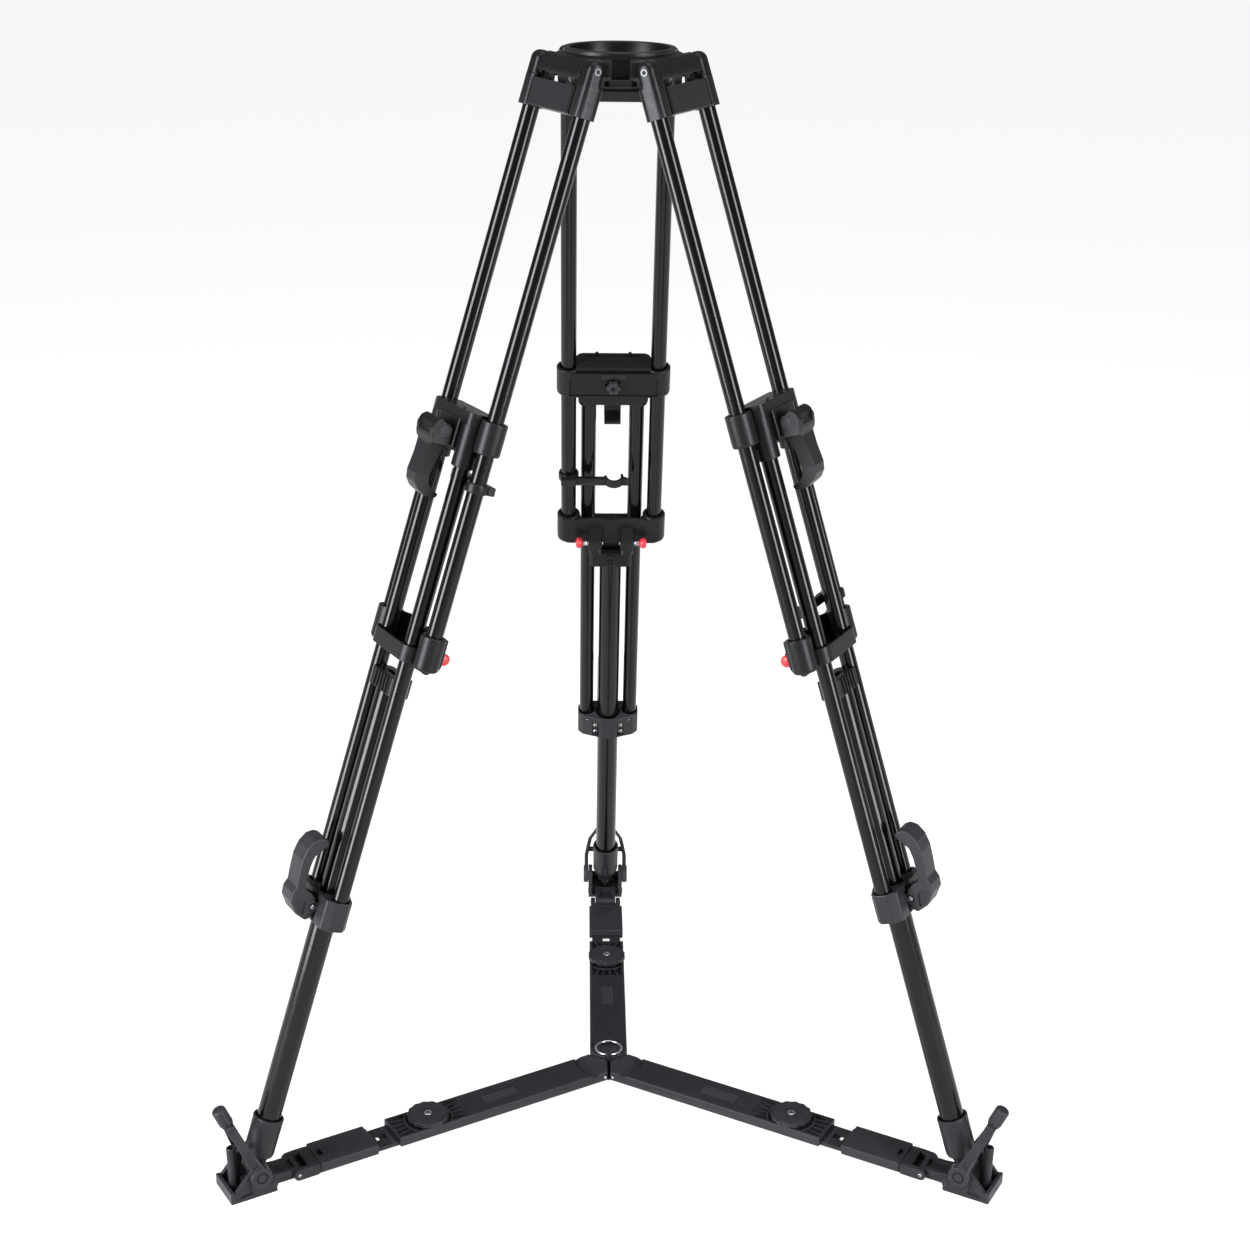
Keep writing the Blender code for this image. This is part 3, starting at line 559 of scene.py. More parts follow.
def lower_casting(name, place):
    top, end = LOWER_CASTING
    tube_t = outer_tube_t(name, place)
    upper_edge = [(t, top + 0.4 + 1.2 * math.cos(math.pi * t / 23)) for t in range(46, -47, -4)]
    lower_edge = [*arc((-50, end - 9.4), 9, 180, 90, 8), *arc((50, end - 9.4), 9, 90, 0, 8)]
    wall = lower_edge + [(59, top + 0.3)] + upper_edge + [(-59, top + 0.3)]
    base = prism(wall, "y", (-13.6, -9.6), 1.2, 3)
    inside = [(38.3, 2), *arc((INNER_TUBE_T, INNER_TUBE_N), 10.4, 0, 90, 10)]
    inside += [*arc((-INNER_TUBE_T, INNER_TUBE_N), 10.4, 90, 180, 10), (-38.3, 2)]
    outside = [(-44, 2), *arc((-INNER_TUBE_T, INNER_TUBE_N), 13.3, 190, 90, 14)]
    outside += [*arc((INNER_TUBE_T, INNER_TUBE_N), 13.3, 90, -10, 14), (44, 2)]
    strap = inside + outside
    lug = [(-10.7, 510), (-24, 517.5), (-33.4, 521.5), (-33.4, 532.5), (-29, 537), (-20, 549)]
    lug += [(-13.6, 549), (-13.6, 540), (-10.7, end - 1.2)]
    added = [prism(strap, "z", (517.6, 535.2), 0.7)]
    removed = []
    for side in (-1, 1):
        collar = (side * tube_t, 0)
        profile = [(0, 12.2), (0.5, 13.1), (1.4, 13.6), (33, 13.6), (35.2, 13), (36.6, 11.6), (37, 10)]
        added.append(revolve(profile, (*collar, top), (*collar, end), 72))
        added.append(prism(rounded(lug, 3, 5), "x", on_side(side, 11.6, 26.4), 1.3, 3))
        added.append(crossbar(SPRING_PIN, side * 10.6, side * 27.4, 5.2, edge=0.6))
        removed.append(bore(collar, top - 9, 532.3, OUTER_BORE))
        removed.append(bore(collar, top - 1, top + 1.2, 10.6, OUTER_BORE))
        removed.append(crossbar(SPRING_PIN, side * 9, side * 29, 3.3, edge=0))
        removed.append(prism(rounded([(-30, 526), (-22, 538), (-19, 553), (-40, 553)], 2), "x",
                             on_side(side, 15, 23)))
    solid = combine(base, added, removed)
    show("lower_casting_body_" + name, solid, place, "upper_" + name, "cast_black", ["lower_casting_" + name])


def spring_pin(name, place, letter, side):
    body = "spring_pin_%s_%s" % (letter, name)
    profile = [(0, 2.2), (0.4, 3.2), (1.2, 4.3), (2.6, 5.5), (4.2, 6.3), (5.6, 6.5), (6.8, 6.3), (7.8, 5.6)]
    profile += [(8.6, 4.4), (9, 2.6), (9.1, 0.8)]
    knob = revolve(profile, (side * 33.4, *SPRING_PIN), (side * 50, *SPRING_PIN))
    show(body + "_knob", knob, place, body, "knob_red", [body])
    stem = crossbar(SPRING_PIN, side * 9.6, side * 34.4, 2, edge=0.5)
    show(body + "_stem", stem, place, body, "bright_steel")
    turns, wire = 5, []
    for i in range(int(turns * 20) + 1):
        angle = 2 * math.pi * i / 20
        t = side * (27.9 + 5.2 * i / (turns * 20))
        wire.append((t, SPRING_PIN[0] + 2.9 * math.cos(angle), SPRING_PIN[1] + 2.9 * math.sin(angle)))
    show(body + "_spring", swept(wire, 0.42, sides=8), place, body, "spring_steel")


# ---------------------------------------------------------------- middle stage


def clamp_casting(name, place, shift):
    tube_t = outer_tube_t(name, place)
    top, end = CLAMP[0] + shift, CLAMP[1] + shift
    knob_l = 290 + shift
    pivot_n, pivot_l = CLAMP_PIVOT[0], CLAMP_PIVOT[1] + shift
    base = box((-50.5, 50.5), (-13.7, 8.2), (top + 1, end - 0.5), 0.9, 3)
    plate = [(43, -9.6), (43, 14), *arc((34, 14.4), 8.5, 0, 90, 10), *arc((-34, 14.4), 8.5, 90, 180, 10)]
    plate += [(-43, 14), (-43, -9.6)]
    flange = rounded([(-40, -12.3), (40, -12.3), (40, 12), (34, 20), (-34, 20), (-40, 12)], 3, 6)
    foot = rounded([(-39, end - 3), (39, end - 3), (39, end + 5), (33, end + 11), (-33, end + 11)]
                   + [(-39, end + 5)], 1.5)
    lug = [(20, pivot_l - 7), *arc((pivot_n, pivot_l), 7, -90, 90, 18), (20, pivot_l + 7)]
    added = [
        prism(plate, "z", (top - 4, top + 9), 1.2, 3),
        prism(foot, "y", (-11.6, 0), 0.8),
        prism(flange, "z", (end - 4, end + 6), 0.8),
        box((-22, 22), (0, 23.7), (top + 5, end + 3), 1.6, 3),
        prism(lug, "x", (-9, 9), 0.8),
        box((-14, 14), (-14.6, -9), (top + 2, top + 8.4), 0.5),
    ]
    removed = [
        rod((0, -20, knob_l), (0, -5, knob_l), 3.3, edge=0),
        rod((8.2, -20, knob_l + 0.4), (8.2, -9, knob_l + 0.4), 1.9, edge=0, sides=24),
        box((-49.6, 49.6), (-20, -12.5), (top + 9, end - 3)),
        box((-33, 33), (15.4, 17), (top - 8, top - 2.6)),
    ]
    for side in (-1, 1):
        collar, inner = (side * tube_t, 0), (side * INNER_TUBE_T, INNER_TUBE_N)
        profile = [(0, 12.4), (0.5, 13.3), (1.3, 13.8), (31.5, 13.8), (33.4, 13.3), (34, 12.6)]
        added.append(revolve(profile, (*collar, top - 1.5), (*collar, end), 72))
        added.append(rod((*inner, top + 5), (*inner, end + 19.5), 12.4, edge=1.2, sides=64))
        added.append(rod((side * 19, 20.5, top - 6.5), (side * 19, 20.5, top + 2), 2, edge=0.8, sides=24))
        removed.append(bore(collar, top - 9, end + 9, OUTER_BORE))
        removed.append(bore(collar, top - 2.5, top + 0.6, 11.2, OUTER_BORE))
        removed.append(bore(inner, 286 + shift, end + 40, INNER_TUBE_RADIUS + 0.3))
        removed.append(box(on_side(side, 49.9, 50.6), (-20, -11.6), (top + 8.4, end - 3.4)))
    solid = combine(base, added, removed)
    show("clamp_casting_body_" + name, solid, place, "middle_" + name, "cast_black", ["clamp_casting_" + name])
    pin = rod((-17.2, pivot_n, pivot_l), (17.2, pivot_n, pivot_l), 3, edge=0.4)
    show("clamp_pivot_pin_" + name, pin, place, "middle_" + name, "spring_steel")


def clamp_lever(name, place, shift):
    pivot_n, pivot_l = CLAMP_PIVOT[0], CLAMP_PIVOT[1] + shift
    handle = arc(CLAMP_PIVOT, 8.4, -90, -180, 12) + [(25, 308), (28, 313), (31, 326), (33, 345), (31, 354)]
    handle += [(24, 360), (17, 362), (20, 367), (33, 366), (42, 361), (47.5, 354), (49, 345), (46, 325), (44, 312)]
    handle += [(47, 305), (48.5, 296), (46, 288.5), (40, 284)]
    solid = prism(rounded(handle, 5, 6), "x", (-18, 18), 1.2, 3)
    removed = [
        box((-9.3, 9.3), (20, 41), (280, 305)),
        crossbar(CLAMP_PIVOT, -19, 19, 3.3, edge=0),
        box((-12, 12), (46.4, 60), (291, 301.5), 0.8),
    ]
    for side in (-1, 1):
        waist = [(side * 15, 310), (side * 11.4, 326), (side * 10, 345), (side * 9.4, 375), (side * 30, 375)]
        removed.append(prism(waist + [(side * 30, 310)], "y", (0, 60)))
    solid = moved(combine(solid, (), removed), Matrix.Translation((0, 0, shift)))
    body = "clamp_lever_" + name
    show("clamp_lever_handle_" + name, solid, place, body, "cast_black", [body])
    for letter, side in SIDES:
        ring = revolve([(0, 5.6), (0.5, 5.6), (0.9, 5.1), (0.9, 3.9), (0.1, 3.5)],
                       (side * 17.9, pivot_n, pivot_l), (side * 30, pivot_n, pivot_l))
        show("clamp_lever_washer_%s_%s" % (letter, name), ring, place, body, "lever_grey")


def tension_knob(name, place, shift):
    at = 290 + shift
    knob = prism(lobed((0, at), 7, 1.15, 6, 72), "y", (-22, -14.9), 0.9, 3)
    added = [rod((0, -15.4, at), (0, -6, at), 3, edge=0.4), rod((0, -16, at), (0, -12.8, at), 4.6, edge=0.4)]
    removed = [rod((0, -24, at), (0, -20.9, at), 3.4, edge=0), rod((0, -22, at), (0, -18.8, at), 1.7, edge=0)]
    body = "tension_knob_" + name
    show(body + "_lobes", combine(knob, added, removed), place, body, "lever_grey", [body])


def middle_frame(name, place, shift):
    top, end = BOTTOM[0] + shift, BOTTOM[1] + shift
    half = [(0, -12.4), (9, -11.6), (32.5, -4), (38.7, 2.5), (38.7, 17), (31, 26), (10, 26)]
    outline = half + [(-t, n) for t, n in reversed(half) if t]
    base = prism(rounded(outline, 4, 6), "z", (top, end), 1.3, 3)
    pivot_n, pivot_l = LOWER_PIVOT[0], LOWER_PIVOT[1] + shift
    lug = [(24, pivot_l - 8), *arc((pivot_n + 1, pivot_l), 8, -90, 90, 18), (24, pivot_l + 8)]
    added = [prism(lug, "x", (-8, 8), 0.8), rod((0, LOWER_TUBE_N, end - 3), (0, LOWER_TUBE_N, end + 2), 15.2)]
    tube_low = extent("middle_frame_" + name, place, 2)[0]
    removed = [
        bore(LOWER_TUBE, top - 20, end + 9, LOWER_TUBE_RADIUS + 0.3, sides=72),
        bore(LOWER_TUBE, top - 1, top + 3, 16.5, LOWER_TUBE_RADIUS, sides=72),
    ]
    screws = []
    for letter, side in SIDES:
        at = (side * INNER_TUBE_T, INNER_TUBE_N)
        removed.append(box(on_side(side, 8, 14.2), (20, 27.4), (pivot_l - 9, end + 9), 0.4))
        removed.append(bore(at, top - 5, top + 14, INNER_TUBE_RADIUS + 0.15))
        removed.append(bore(at, top - 1, top + 3.2, 11, INNER_TUBE_RADIUS))
        strip = rounded([(side * 12, top + 9), (side * 20.5, top + 9), (side * 20.5, end - 3.4)]
                        + [(side * 12, end - 3.4)], 1.2)
        removed.append(prism(strip, "y", (-20, -6.4)))
        tube = pipe(*at, (tube_low, top + 12), INNER_TUBE_RADIUS)
        show("inner_tube_%s_%s" % (letter, name), tube, place, "middle_" + name, "tube_black")
        for number, along in enumerate((14.2, 24.8)):
            centre = Vector((side * 16.3, -6.3, top + along))
            screws.append(("%s%d" % (letter, number), centre, Vector((0, -1, 0)), 2.75))
        screws.append((letter + "2", Vector((side * 27, -6, top + 5)), Vector((side * 0.3, -1, 0)), 0.9))
    solid = combine(base, added, removed)
    show("middle_bottom_casting_" + name, solid, place, "middle_" + name, "cast_grey", ["middle_frame_" + name])
    for label, centre, facing, size in screws:
        show("middle_screw_%s_%s" % (label, name), cap_screw(centre, facing, size), place, "middle_" + name,
             "bright_steel")
    pin = rod((-14.8, pivot_n, pivot_l), (14.8, pivot_n, pivot_l), 2.6, edge=0.7)
    show("lower_pivot_pin_" + name, pin, place, "middle_" + name, "bright_steel")


def cap_screw(centre, facing, size):
    """A domed screw head with a round socket."""
    profile = [(-0.6, size), (0.5, size), (0.9, 0.92 * size), (1.15, 0.75 * size), (1.2, 0.55 * size)]
    profile += [(-0.3, 0.5 * size), (-0.4, 0.1 * size)]
    return revolve(profile, centre, centre + 10 * facing, 32)


def lower_lever(name, place, shift):
    pivot_n, pivot_l = LOWER_PIVOT
    handle = [(30, 750), (33, 745), (40, 743.5), (48, 747), (54, 757), (56.5, 770), (55.5, 790), (54.5, 800)]
    handle += [(57.5, 807), (57, 817), (48, 830), (35, 836.5)]
    handle += arc((pivot_n + 6.5, pivot_l + 6), 10, 130, 200, 6)
    handle += [(29, 812), (35, 806), (44, 802), (45, 790), (45, 775), (43, 764), (36, 757)]
    solid = prism(rounded(handle, 5, 6), "x", (-13.5, 13.5), 1.5, 3)
    removed = [
        box((-8.3, 8.3), (20, 44), (809, 850)),
        crossbar(LOWER_PIVOT, -15, 15, 3.3, edge=0),
    ]
    for side in (-1, 1):
        pocket = rounded([(49.5, 812), (53.6, 815), (46, 827), (38.5, 831), (40.5, 815)], 2)
        removed.append(prism(pocket, "x", on_side(side, 12, 16)))
    solid = moved(combine(solid, (), removed), Matrix.Translation((0, 0, shift)))
    body = "lower_lever_" + name
    show("lower_lever_handle_" + name, solid, place, body, "lever_grey", [body])
    for letter, side in SIDES:
        start = (side * 13.2, pivot_n, pivot_l + shift)
        ring = revolve([(0, 6.6), (0.9, 6.6), (1.3, 6.1), (1.3, 4.4), (0.4, 3.6), (0.2, 3.3)],
                       start, (side * 30, pivot_n, pivot_l + shift))
        ring = combine(ring, (), [rod((side * 10, *start[1:]), (side * 20, *start[1:]), 3.1, edge=0)])
        show("lower_lever_washer_%s_%s" % (letter, name), ring, place, body, "cast_grey")


# ---------------------------------------------------------------- lower stage


def lower_tube(name, place):
    body = "lower_" + name
    top, end = GUIDE_CAP
    tube = pipe(0, LOWER_TUBE_N, (end - 6, 1108), LOWER_TUBE_RADIUS)
    show("lower_tube_finish_" + name, tube, place, body, "tube_black", ["lower_tube_" + name])
    outline = rounded([(-26, -4), (-22, -7), (22, -7), (26, -4), (26, 15), (22, 17.5), (-22, 17.5), (-26, 15)], 3)
    cap = prism(outline, "z", (top, end), 0.9, 3)
    removed, added = [], []
    for side in (-1, 1):
        at = (side * INNER_TUBE_T, INNER_TUBE_N)
        removed.append(bore(at, top - 9, end + 9, INNER_TUBE_RADIUS + 0.3))
    added.append(prism(ellipse((0, top + 7.4), 7.6, 5.2, 36), "y", (-8.3, -4), 0.5))
    removed.append(prism(ellipse((0, top + 7.4), 5.4, 3.2, 36), "y", (-9, -7.5)))
    for k in range(-2, 3):
        added.append(box((6.6 * k - 1, 6.6 * k + 1), (15, 18.8), (top + 1, end - 1), 0.5))
    removed.append(box((-11, 11), (2, 10), (top - 2, top + 6), 0.8))
    show("guide_cap_" + name, combine(cap, added, removed), place, body, "cast_black")


def foot_socket(name, place):
    start, end = FOOT_CUP
    centre = LOWER_TUBE_N
    body = "lower_" + name
    profile = [(0, 16.2), (0.4, 16.9), (1.2, 17.2), (4, 17), (42, 16.6), (45, 15.6), (46, 14)]
    cup = revolve(profile, (0, centre, start), (0, centre, end), 72)
    ankle = joint_place("ankle_" + name, place).yz
    along = ankle[1]
    added = [
        revolve([(0, 12.6), (4, 12.4), (10, 11), (along - end + 5, 10)], (0, centre, end - 4),
                (0, centre + 1, along), 56),
        crossbar(ankle, -9.8, 9.8, 9.2, edge=1, sides=56),
        box((-2, 2), (-13.2, -9), (start + 30, end - 2), 0.8),
    ]
    removed = [
        bore(LOWER_TUBE, start - 9, end - 10.7, LOWER_TUBE_RADIUS + 0.3, sides=72),
        bore(LOWER_TUBE, start - 1, start + 2, 15.6, 13.6, sides=72),
        crossbar(ankle, -12, 12, 3.8, edge=0),
        rod((0, -20, start + 5), (0, -10, start + 5), 1.2, edge=0, sides=20),
    ]
    show("foot_cup_" + name, combine(cup, added, removed), place, body, "cast_grey", ["foot_socket_" + name])
    spike = revolve([(0, 6.2), (1, 6.4), (3, 6.4), (3.4, 5.8), (14, 1.6), (15.6, 0.7)],
                    (0, centre, 1138.2), (0, centre, 1160), 40)
    show("foot_spike_" + name, spike, place, body, "bright_steel")


def cable_clip(name, place):
    node = "cable_clip_" + name
    start, end = extent(node, place, 2)
    tube_t = outer_tube_t(name, place)
    ring = revolve([(0, 10.9), (0.7, 11.6), (2.4, 11.9), (7.6, 11.9), (9.3, 11.6), (10, 10.9)],
                   (0, 0, start), (0, 0, end), 64)
    arm = [(-4, -9.5), (-41, -9.5), (-43.2, -7), (-44.9, -6.9)]
    arm += [*arc((-53.5, -9), 8, 0, -180, 24), (-61.5, -3.5), (-64, -3.5), (-65, -9), (-71, -13), (-71, -14.8)]
    arm += arc((-53.5, -9), 11, -150, -30, 20) + [(-42, -14.8), (-8, -14.8), (-4, -14.4)]
    added = [
        prism(rounded(arm, 1, 3), "z", (start + 0.2, end - 0.2), 0.6),
        box((-9, 9), (-17.5, -8.3), (start + 0.4, end - 0.4), 1.4, 3),
    ]
    removed = [bore((0, 0), start - 5, end + 5, OUTER_BORE)]
    solid = moved(combine(ring, added, removed), Matrix.Translation((tube_t, 0, 0)))
    show("cable_clip_hook_" + name, solid, place, node, "cast_black", [node])


# ---------------------------------------------------------------- feet and spreader


def foot_block(name, place):
    body = "foot_block_" + name
    ankle = joint_place("ankle_" + name, place).xz
    base = box((434, 487), (-23, 23), (0, 4), 0.8, 3)
    cheek = [(434, 0), (487, 0), (487, 11), (481, 13), (466.5, 30)]
    cheek += [*arc(ankle, 12.5, 20, 168, 20), (438, 17), (434, 15)]
    tongue = [(436, 2), (407, 2), *arc(LINK_PIN, 6, -90, -270, 18), (424, 13.5), (436, 15)]
    added = [
        box((482.6, 487.2), (-23.2, 23.2), (0, 13.6), 0.9, 3),
        prism(rounded(tongue, 1, 3), "y", (-13.5, 13.5), 0.8),
        rod((ankle[0], -23.6, ankle[1]), (ankle[0], 23.6, ankle[1]), 3.5, edge=0.3),
        revolve([(0, 6.6), (40, 5.6), (53.4, 5.6), (54.4, 5.2), (55, 4.6)], (474, 0, 2), (476, 0, 57), 48),
    ]
    removed = [
        rod((475, 0, 32), (476.4, 0, 68), 3.7, edge=0, sides=36),
        rod((480, 0, 7), (492, 0, 7), 0.9, edge=0, sides=20),
        box((408, 430), (-8, 8), (10.6, 20), 0.6),
    ]
    web = rounded([(478, 4.5), (462, 6), (466, 19)], 1.5)
    for side in (-1, 1):
        added.append(prism(rounded(cheek, 1.2, 3), "y", on_side(side, 18, 23), 0.8, 3))
        added.append(rod((437, side * 19, 9), (437, side * 23.6, 9), 4, edge=0.5))
        removed.append(prism(web, "y", on_side(side, 21.6, 26)))
    solid = combine(base, added, removed)
    show("foot_shoe_" + name, solid, place, body, "moulded_grey", [body])
    # A dark plug at the bottom of the post's hole: painted shade in the hole.
    show("foot_post_well_shade_" + name, rod((475, 0, 33), (475.2, 0, 39), 3.65, edge=0.2), place, body,
         "painted_shade_black")


def foot_lever(name, place):
    body = "foot_lever_" + name
    ankle = joint_place("ankle_" + name, place).xz
    lean = math.atan2(115 + ARM_TOP - ankle[1], 497 - ankle[0])
    forward = Vector((math.cos(lean), 0, math.sin(lean)))
    side_view = Vector((-math.sin(lean), 0, math.cos(lean)))
    pivot = Vector((ankle[0], 0, ankle[1]))
    across = Vector((0, 1, 0))

    def at(along, t, edge=0):
        return pivot + along * forward + t * across + edge * side_view

    grip = [(0, 6.2), (1.5, 7), (3.5, 7), (4.6, 7.9), (23, 7.9), (24.4, 7.2), (25.3, 5.8), (25.7, 3)]
    base = revolve(grip, at(63.5, 0), at(89.2, 0), 56)
    added = [rod(at(63, -12), at(63, 12), 5.2, edge=1)]
    added.append(rod(at(34, -25), at(34, 25), 3.4, edge=0.4))
    removed = [rod(pivot - 24.4 * across, pivot + 24.4 * across, 3.8, edge=0)]
    # Each arm's sections, as (along, t, half its height).
    sections = [(4, 26.2, 8), (26, 26.2, 6.2), (40, 23.2, 5.2)]
    sections += [(49, 21, 5.2), (61, 12, 5.4), (67, 8, 5.6)]
    groove = [at(16, 0, -3.4), at(16, 0, 3.4), at(44, 0, 2.6), at(44, 0, -2.6)]
    groove = rounded([(corner.x, corner.z) for corner in groove], 1)
    rings = []
    for side in (-1, 1):
        added.append(revolve([(0, 11.4), (0.5, 12), (5.4, 12), (6.3, 11.4), (6.6, 10.6)],
                             pivot + side * 23.4 * across, pivot + side * 40 * across, 64))
        points = []
        for along, t, half in sections:
            for dt, edge in ((-2.6, -half), (2.6, -half), (2.6, half), (-2.6, half)):
                points.append(at(along, side * t + dt, edge))
        faces = [(0, 1, 2, 3), tuple(range(len(points) - 4, len(points)))]
        for i in range(0, len(points) - 4, 4):
            for k in range(4):
                j = (k + 1) % 4
                faces.append((i + k, i + j, i + 4 + j, i + 4 + k))
        added.append(shape(points, faces, 0.9, 3))
        removed.append(prism(groove, "y", on_side(side, 28, 31)))
        facing = Matrix.Translation(pivot) @ Matrix.Rotation(-side * math.pi / 2, 4, "X")
        removed.append(moved(turned([(6.6, 29.1), (6.6, 32.1), (4.9, 32.1), (4.9, 29.1)], 64), facing))
        # A dark ring at the bottom of each ring groove: painted shade in the groove.
        rings.append(moved(turned([(6.5, 29), (6.5, 29.5), (5, 29.5), (5, 29)], 64), facing))
    show("foot_lever_handle_" + name, combine(base, added, removed), place, body, "moulded_grey", [body])
    for (letter, _), ring in zip(SIDES, rings):
        show("foot_lever_ring_%s_%s" % (letter, name), ring, place, body, "painted_shade_black")


def side_pins(label, name, place, body, centre, size):
    """The two heads of a pin across an arm, at a centre given for one side."""
    for letter, side in SIDES:
        pin = cap_screw(Vector((centre[0], side * centre[1], centre[2])), Vector((0, side, 0)), size)
        show("%s_%s_%s" % (label, letter, name), pin, place, body, "bright_steel")


def arm_outer(name, place):
    body = "arm_outer_" + name
    start = extent(body, place, 0)[0]
    plate_start, end = TRAY
    half = ARM_HALF_WIDTH
    base = box((plate_start, end), (-half, half), (ARM_BOTTOM, ARM_TOP), 1, 3)
    cheek = [(383, 1.5), *arc(LINK_PIN, 6.2, -90, 90, 18), (398, 14.2), (383, 14.2)]
    added = [
        box((start, plate_start + 5), (-18.6, 18.6), (4.5, 9.2), 0.5),
        box((end - 4, 391), (-20, 20), (ARM_BOTTOM - 1.5, 14), 0.7),
        prism(rounded(cheek, 1, 3), "y", (-20, -14.2), 0.8),
        prism(rounded(cheek, 1, 3), "y", (14.2, 20), 0.8),
        box((plate_start - 2, plate_start + 1.5), (-19.5, 19.5), (8, 13), 0.4),
        box((289, 293), (-18, 18), (8.6, 9.55), 0.2),
        rod((391.5, -14.6, 11.6), (391.5, 14.6, 11.6), 2.3, edge=0.4),
        box((389, 399), (-14.4, 14.4), (1.8, 4.4), 0.4),
    ]
    removed = [
        prism(rounded([(372, -6.5), (378, -6.5), (378, 6.5), (372, 6.5)], 2.6), "z", (11, 20)),
        box((293, 306), (-4.5, 4.5), (5.4, 12), 0.5),
        box((300, 384), (-17.5, 17.5), (0, 6.6)),
    ]
    show("arm_outer_tray_" + name, combine(base, added, removed), place, body, "moulded_grey", [body])
    side_pins("link_pin", name, place, body, (LINK_PIN[0], 19.6, LINK_PIN[1]), 1.9)


def arm_inner(name, place):
    azimuth = math.atan2(place[1][0], place[0][0])
    half, tip, slope = ARM_HALF_WIDTH, 2, math.tan(math.radians(60))
    end = ARM_INNER_END
    outline = [(tip, 0), (tip + half / slope, -half), (end, -half), (end, half), (tip + half / slope, half)]
    base = prism(outline, "z", (ARM_BOTTOM, ARM_TOP), 0.9, 3)
    eye = moved(rod((0, 4, 0), (0, 4, 30), 4.2, edge=0), Matrix.Rotation(-azimuth, 4, "Z"))
    wedge_low = [(33, ARM_TOP + 1), (33, ARM_TOP - 0.2), (40.4, ARM_TOP - 2.6), (41.2, ARM_TOP + 1)]
    removed = [
        box((118, 300), (-19, 19), (0, 9.7)),
        eye,
        turned(wedge_low, 144),
        box((196, 284), (-18.5, 18.5), (11.4, 20), 0.8),
    ]
    for r, t, half_r, half_t in ((124.4, 0, 0.45, 8.4), (170.6, 0, 0.45, 8.4), (147.5, -8, 23.5, 0.45)):
        removed.append(box((r - half_r, r + half_r), (t - half_t, t + half_t), (ARM_TOP - 0.8, 20)))
    removed.append(box((124.5, 170.5), (-8, 8), (ARM_TOP - 0.35, 20)))
    base = combine(base, (), removed)
    added = []
    for side in (-1, 1):
        for k in (-1.5, -0.5, 0.5, 1.5):
            angle = math.radians(13.5 * k) + (0 if side > 0 else math.pi)
            added.append(fan_rib(angle, 45 if side > 0 else 46.5))
    wall = turned([(26.4, 10.8), (28.2, 10.8), (28.2, ARM_TOP - 0.3), (26.4, ARM_TOP - 0.3)], 96, (KNOB_R, 0))
    trim = [box((190, 290), side, (5, 20)) for side in ((-60, -19.5), (19.5, 60))]
    added.append(combine(wall, (), trim))
    ramp = [(197, 11), (206, 11), (194, 15.4)]
    added.append(prism(ramp, "y", (-17, 17)))
    added.append(box((281.6, 284.6), (-half + 1, half - 1), (10.4, 14.4), 0.4))
    show("arm_inner_beam_" + name, combine(base, added), place, "hub", "moulded_grey", ["arm_inner_" + name])
    side_pins("hub_pin", name, place, "hub", (17.5, half - 0.35, 8.4), 1.7)


def fan_rib(angle, reach):
    """One rib of the fans beside the disc knob, from the knob's wall out to reach."""
    near = Vector((KNOB_R + 27.5 * math.cos(angle), 27.5 * math.sin(angle), 0))
    far = Vector((KNOB_R + reach * math.cos(angle), reach * math.sin(angle) * 0.92, 0))
    along = (far - near).normalized()
    wide = 1.2 * Vector((-along.y, along.x, 0))
    points = []
    for centre, height in ((near, ARM_TOP - 0.5), (far, ARM_TOP - 0.2)):
        for z in (10.8, height):
            points += [centre - wide + Vector((0, 0, z)), centre + wide + Vector((0, 0, z))]
    faces = [(0, 1, 3, 2), (4, 5, 7, 6), (0, 1, 5, 4), (2, 3, 7, 6), (0, 2, 6, 4), (1, 3, 7, 5)]
    return shape(points, faces, 0.35, 2)


def disc_knob(name, place):
    body = "disc_knob_" + name
    solid = prism(lobed((KNOB_R, 0), 23.5, 0.55, 14, 144), "z", (ARM_TOP + 0.6, ARM_TOP + 6), 0.8, 3)
    added = [
        rod((KNOB_R, 0, 11.9), (KNOB_R, 0, ARM_TOP + 1.5), 6, edge=0.3),
        rod((KNOB_R, 0, ARM_TOP + 5.4), (KNOB_R, 0, ARM_TOP + 6.5), 20.6, edge=0.5, sides=96),
    ]
    removed = [rod((KNOB_R, 0, ARM_TOP + 6), (KNOB_R, 0, ARM_TOP + 8), 5.6, edge=0)]
    show("disc_knob_plate_" + name, combine(solid, added, removed), place, body, "moulded_grey", [body])
    centre = Vector((KNOB_R, 0, ARM_TOP + 6))
    screw = cap_screw(centre, Vector((0, 0, 1)), 4.9)
    cross = [box((KNOB_R - 2.6, KNOB_R + 2.6), (-0.5, 0.5), (ARM_TOP + 6.6, ARM_TOP + 8))]
    cross.append(box((KNOB_R - 0.5, KNOB_R + 0.5), (-2.6, 2.6), (ARM_TOP + 6.6, ARM_TOP + 8)))
    show("disc_knob_screw_" + name, combine(screw, (), cross), place, body, "bright_steel")


def hub():
    place = tripod_place()
    base = rod((0, 0, 1.6), (0, 0, 3.6), 23, edge=0.5, sides=96)
    added = [rod((0, 4, 2), (0, 4, 23.1), 3.6, edge=1.2)]
    removed = [rod((-6, 4, 19.5), (6, 4, 19.5), 2.2, edge=0, sides=32)]
    show("hub_plate", combine(base, added, removed), place, "hub", "moulded_grey", ["hub"])
    path = [(*point, 19.5) for point in ellipse((0, 19), 15, 15, 72)]
    show("carrying_ring_wire", swept(path, 1.3, True, 20), place, "carrying_ring", "bright_steel", ["carrying_ring"])


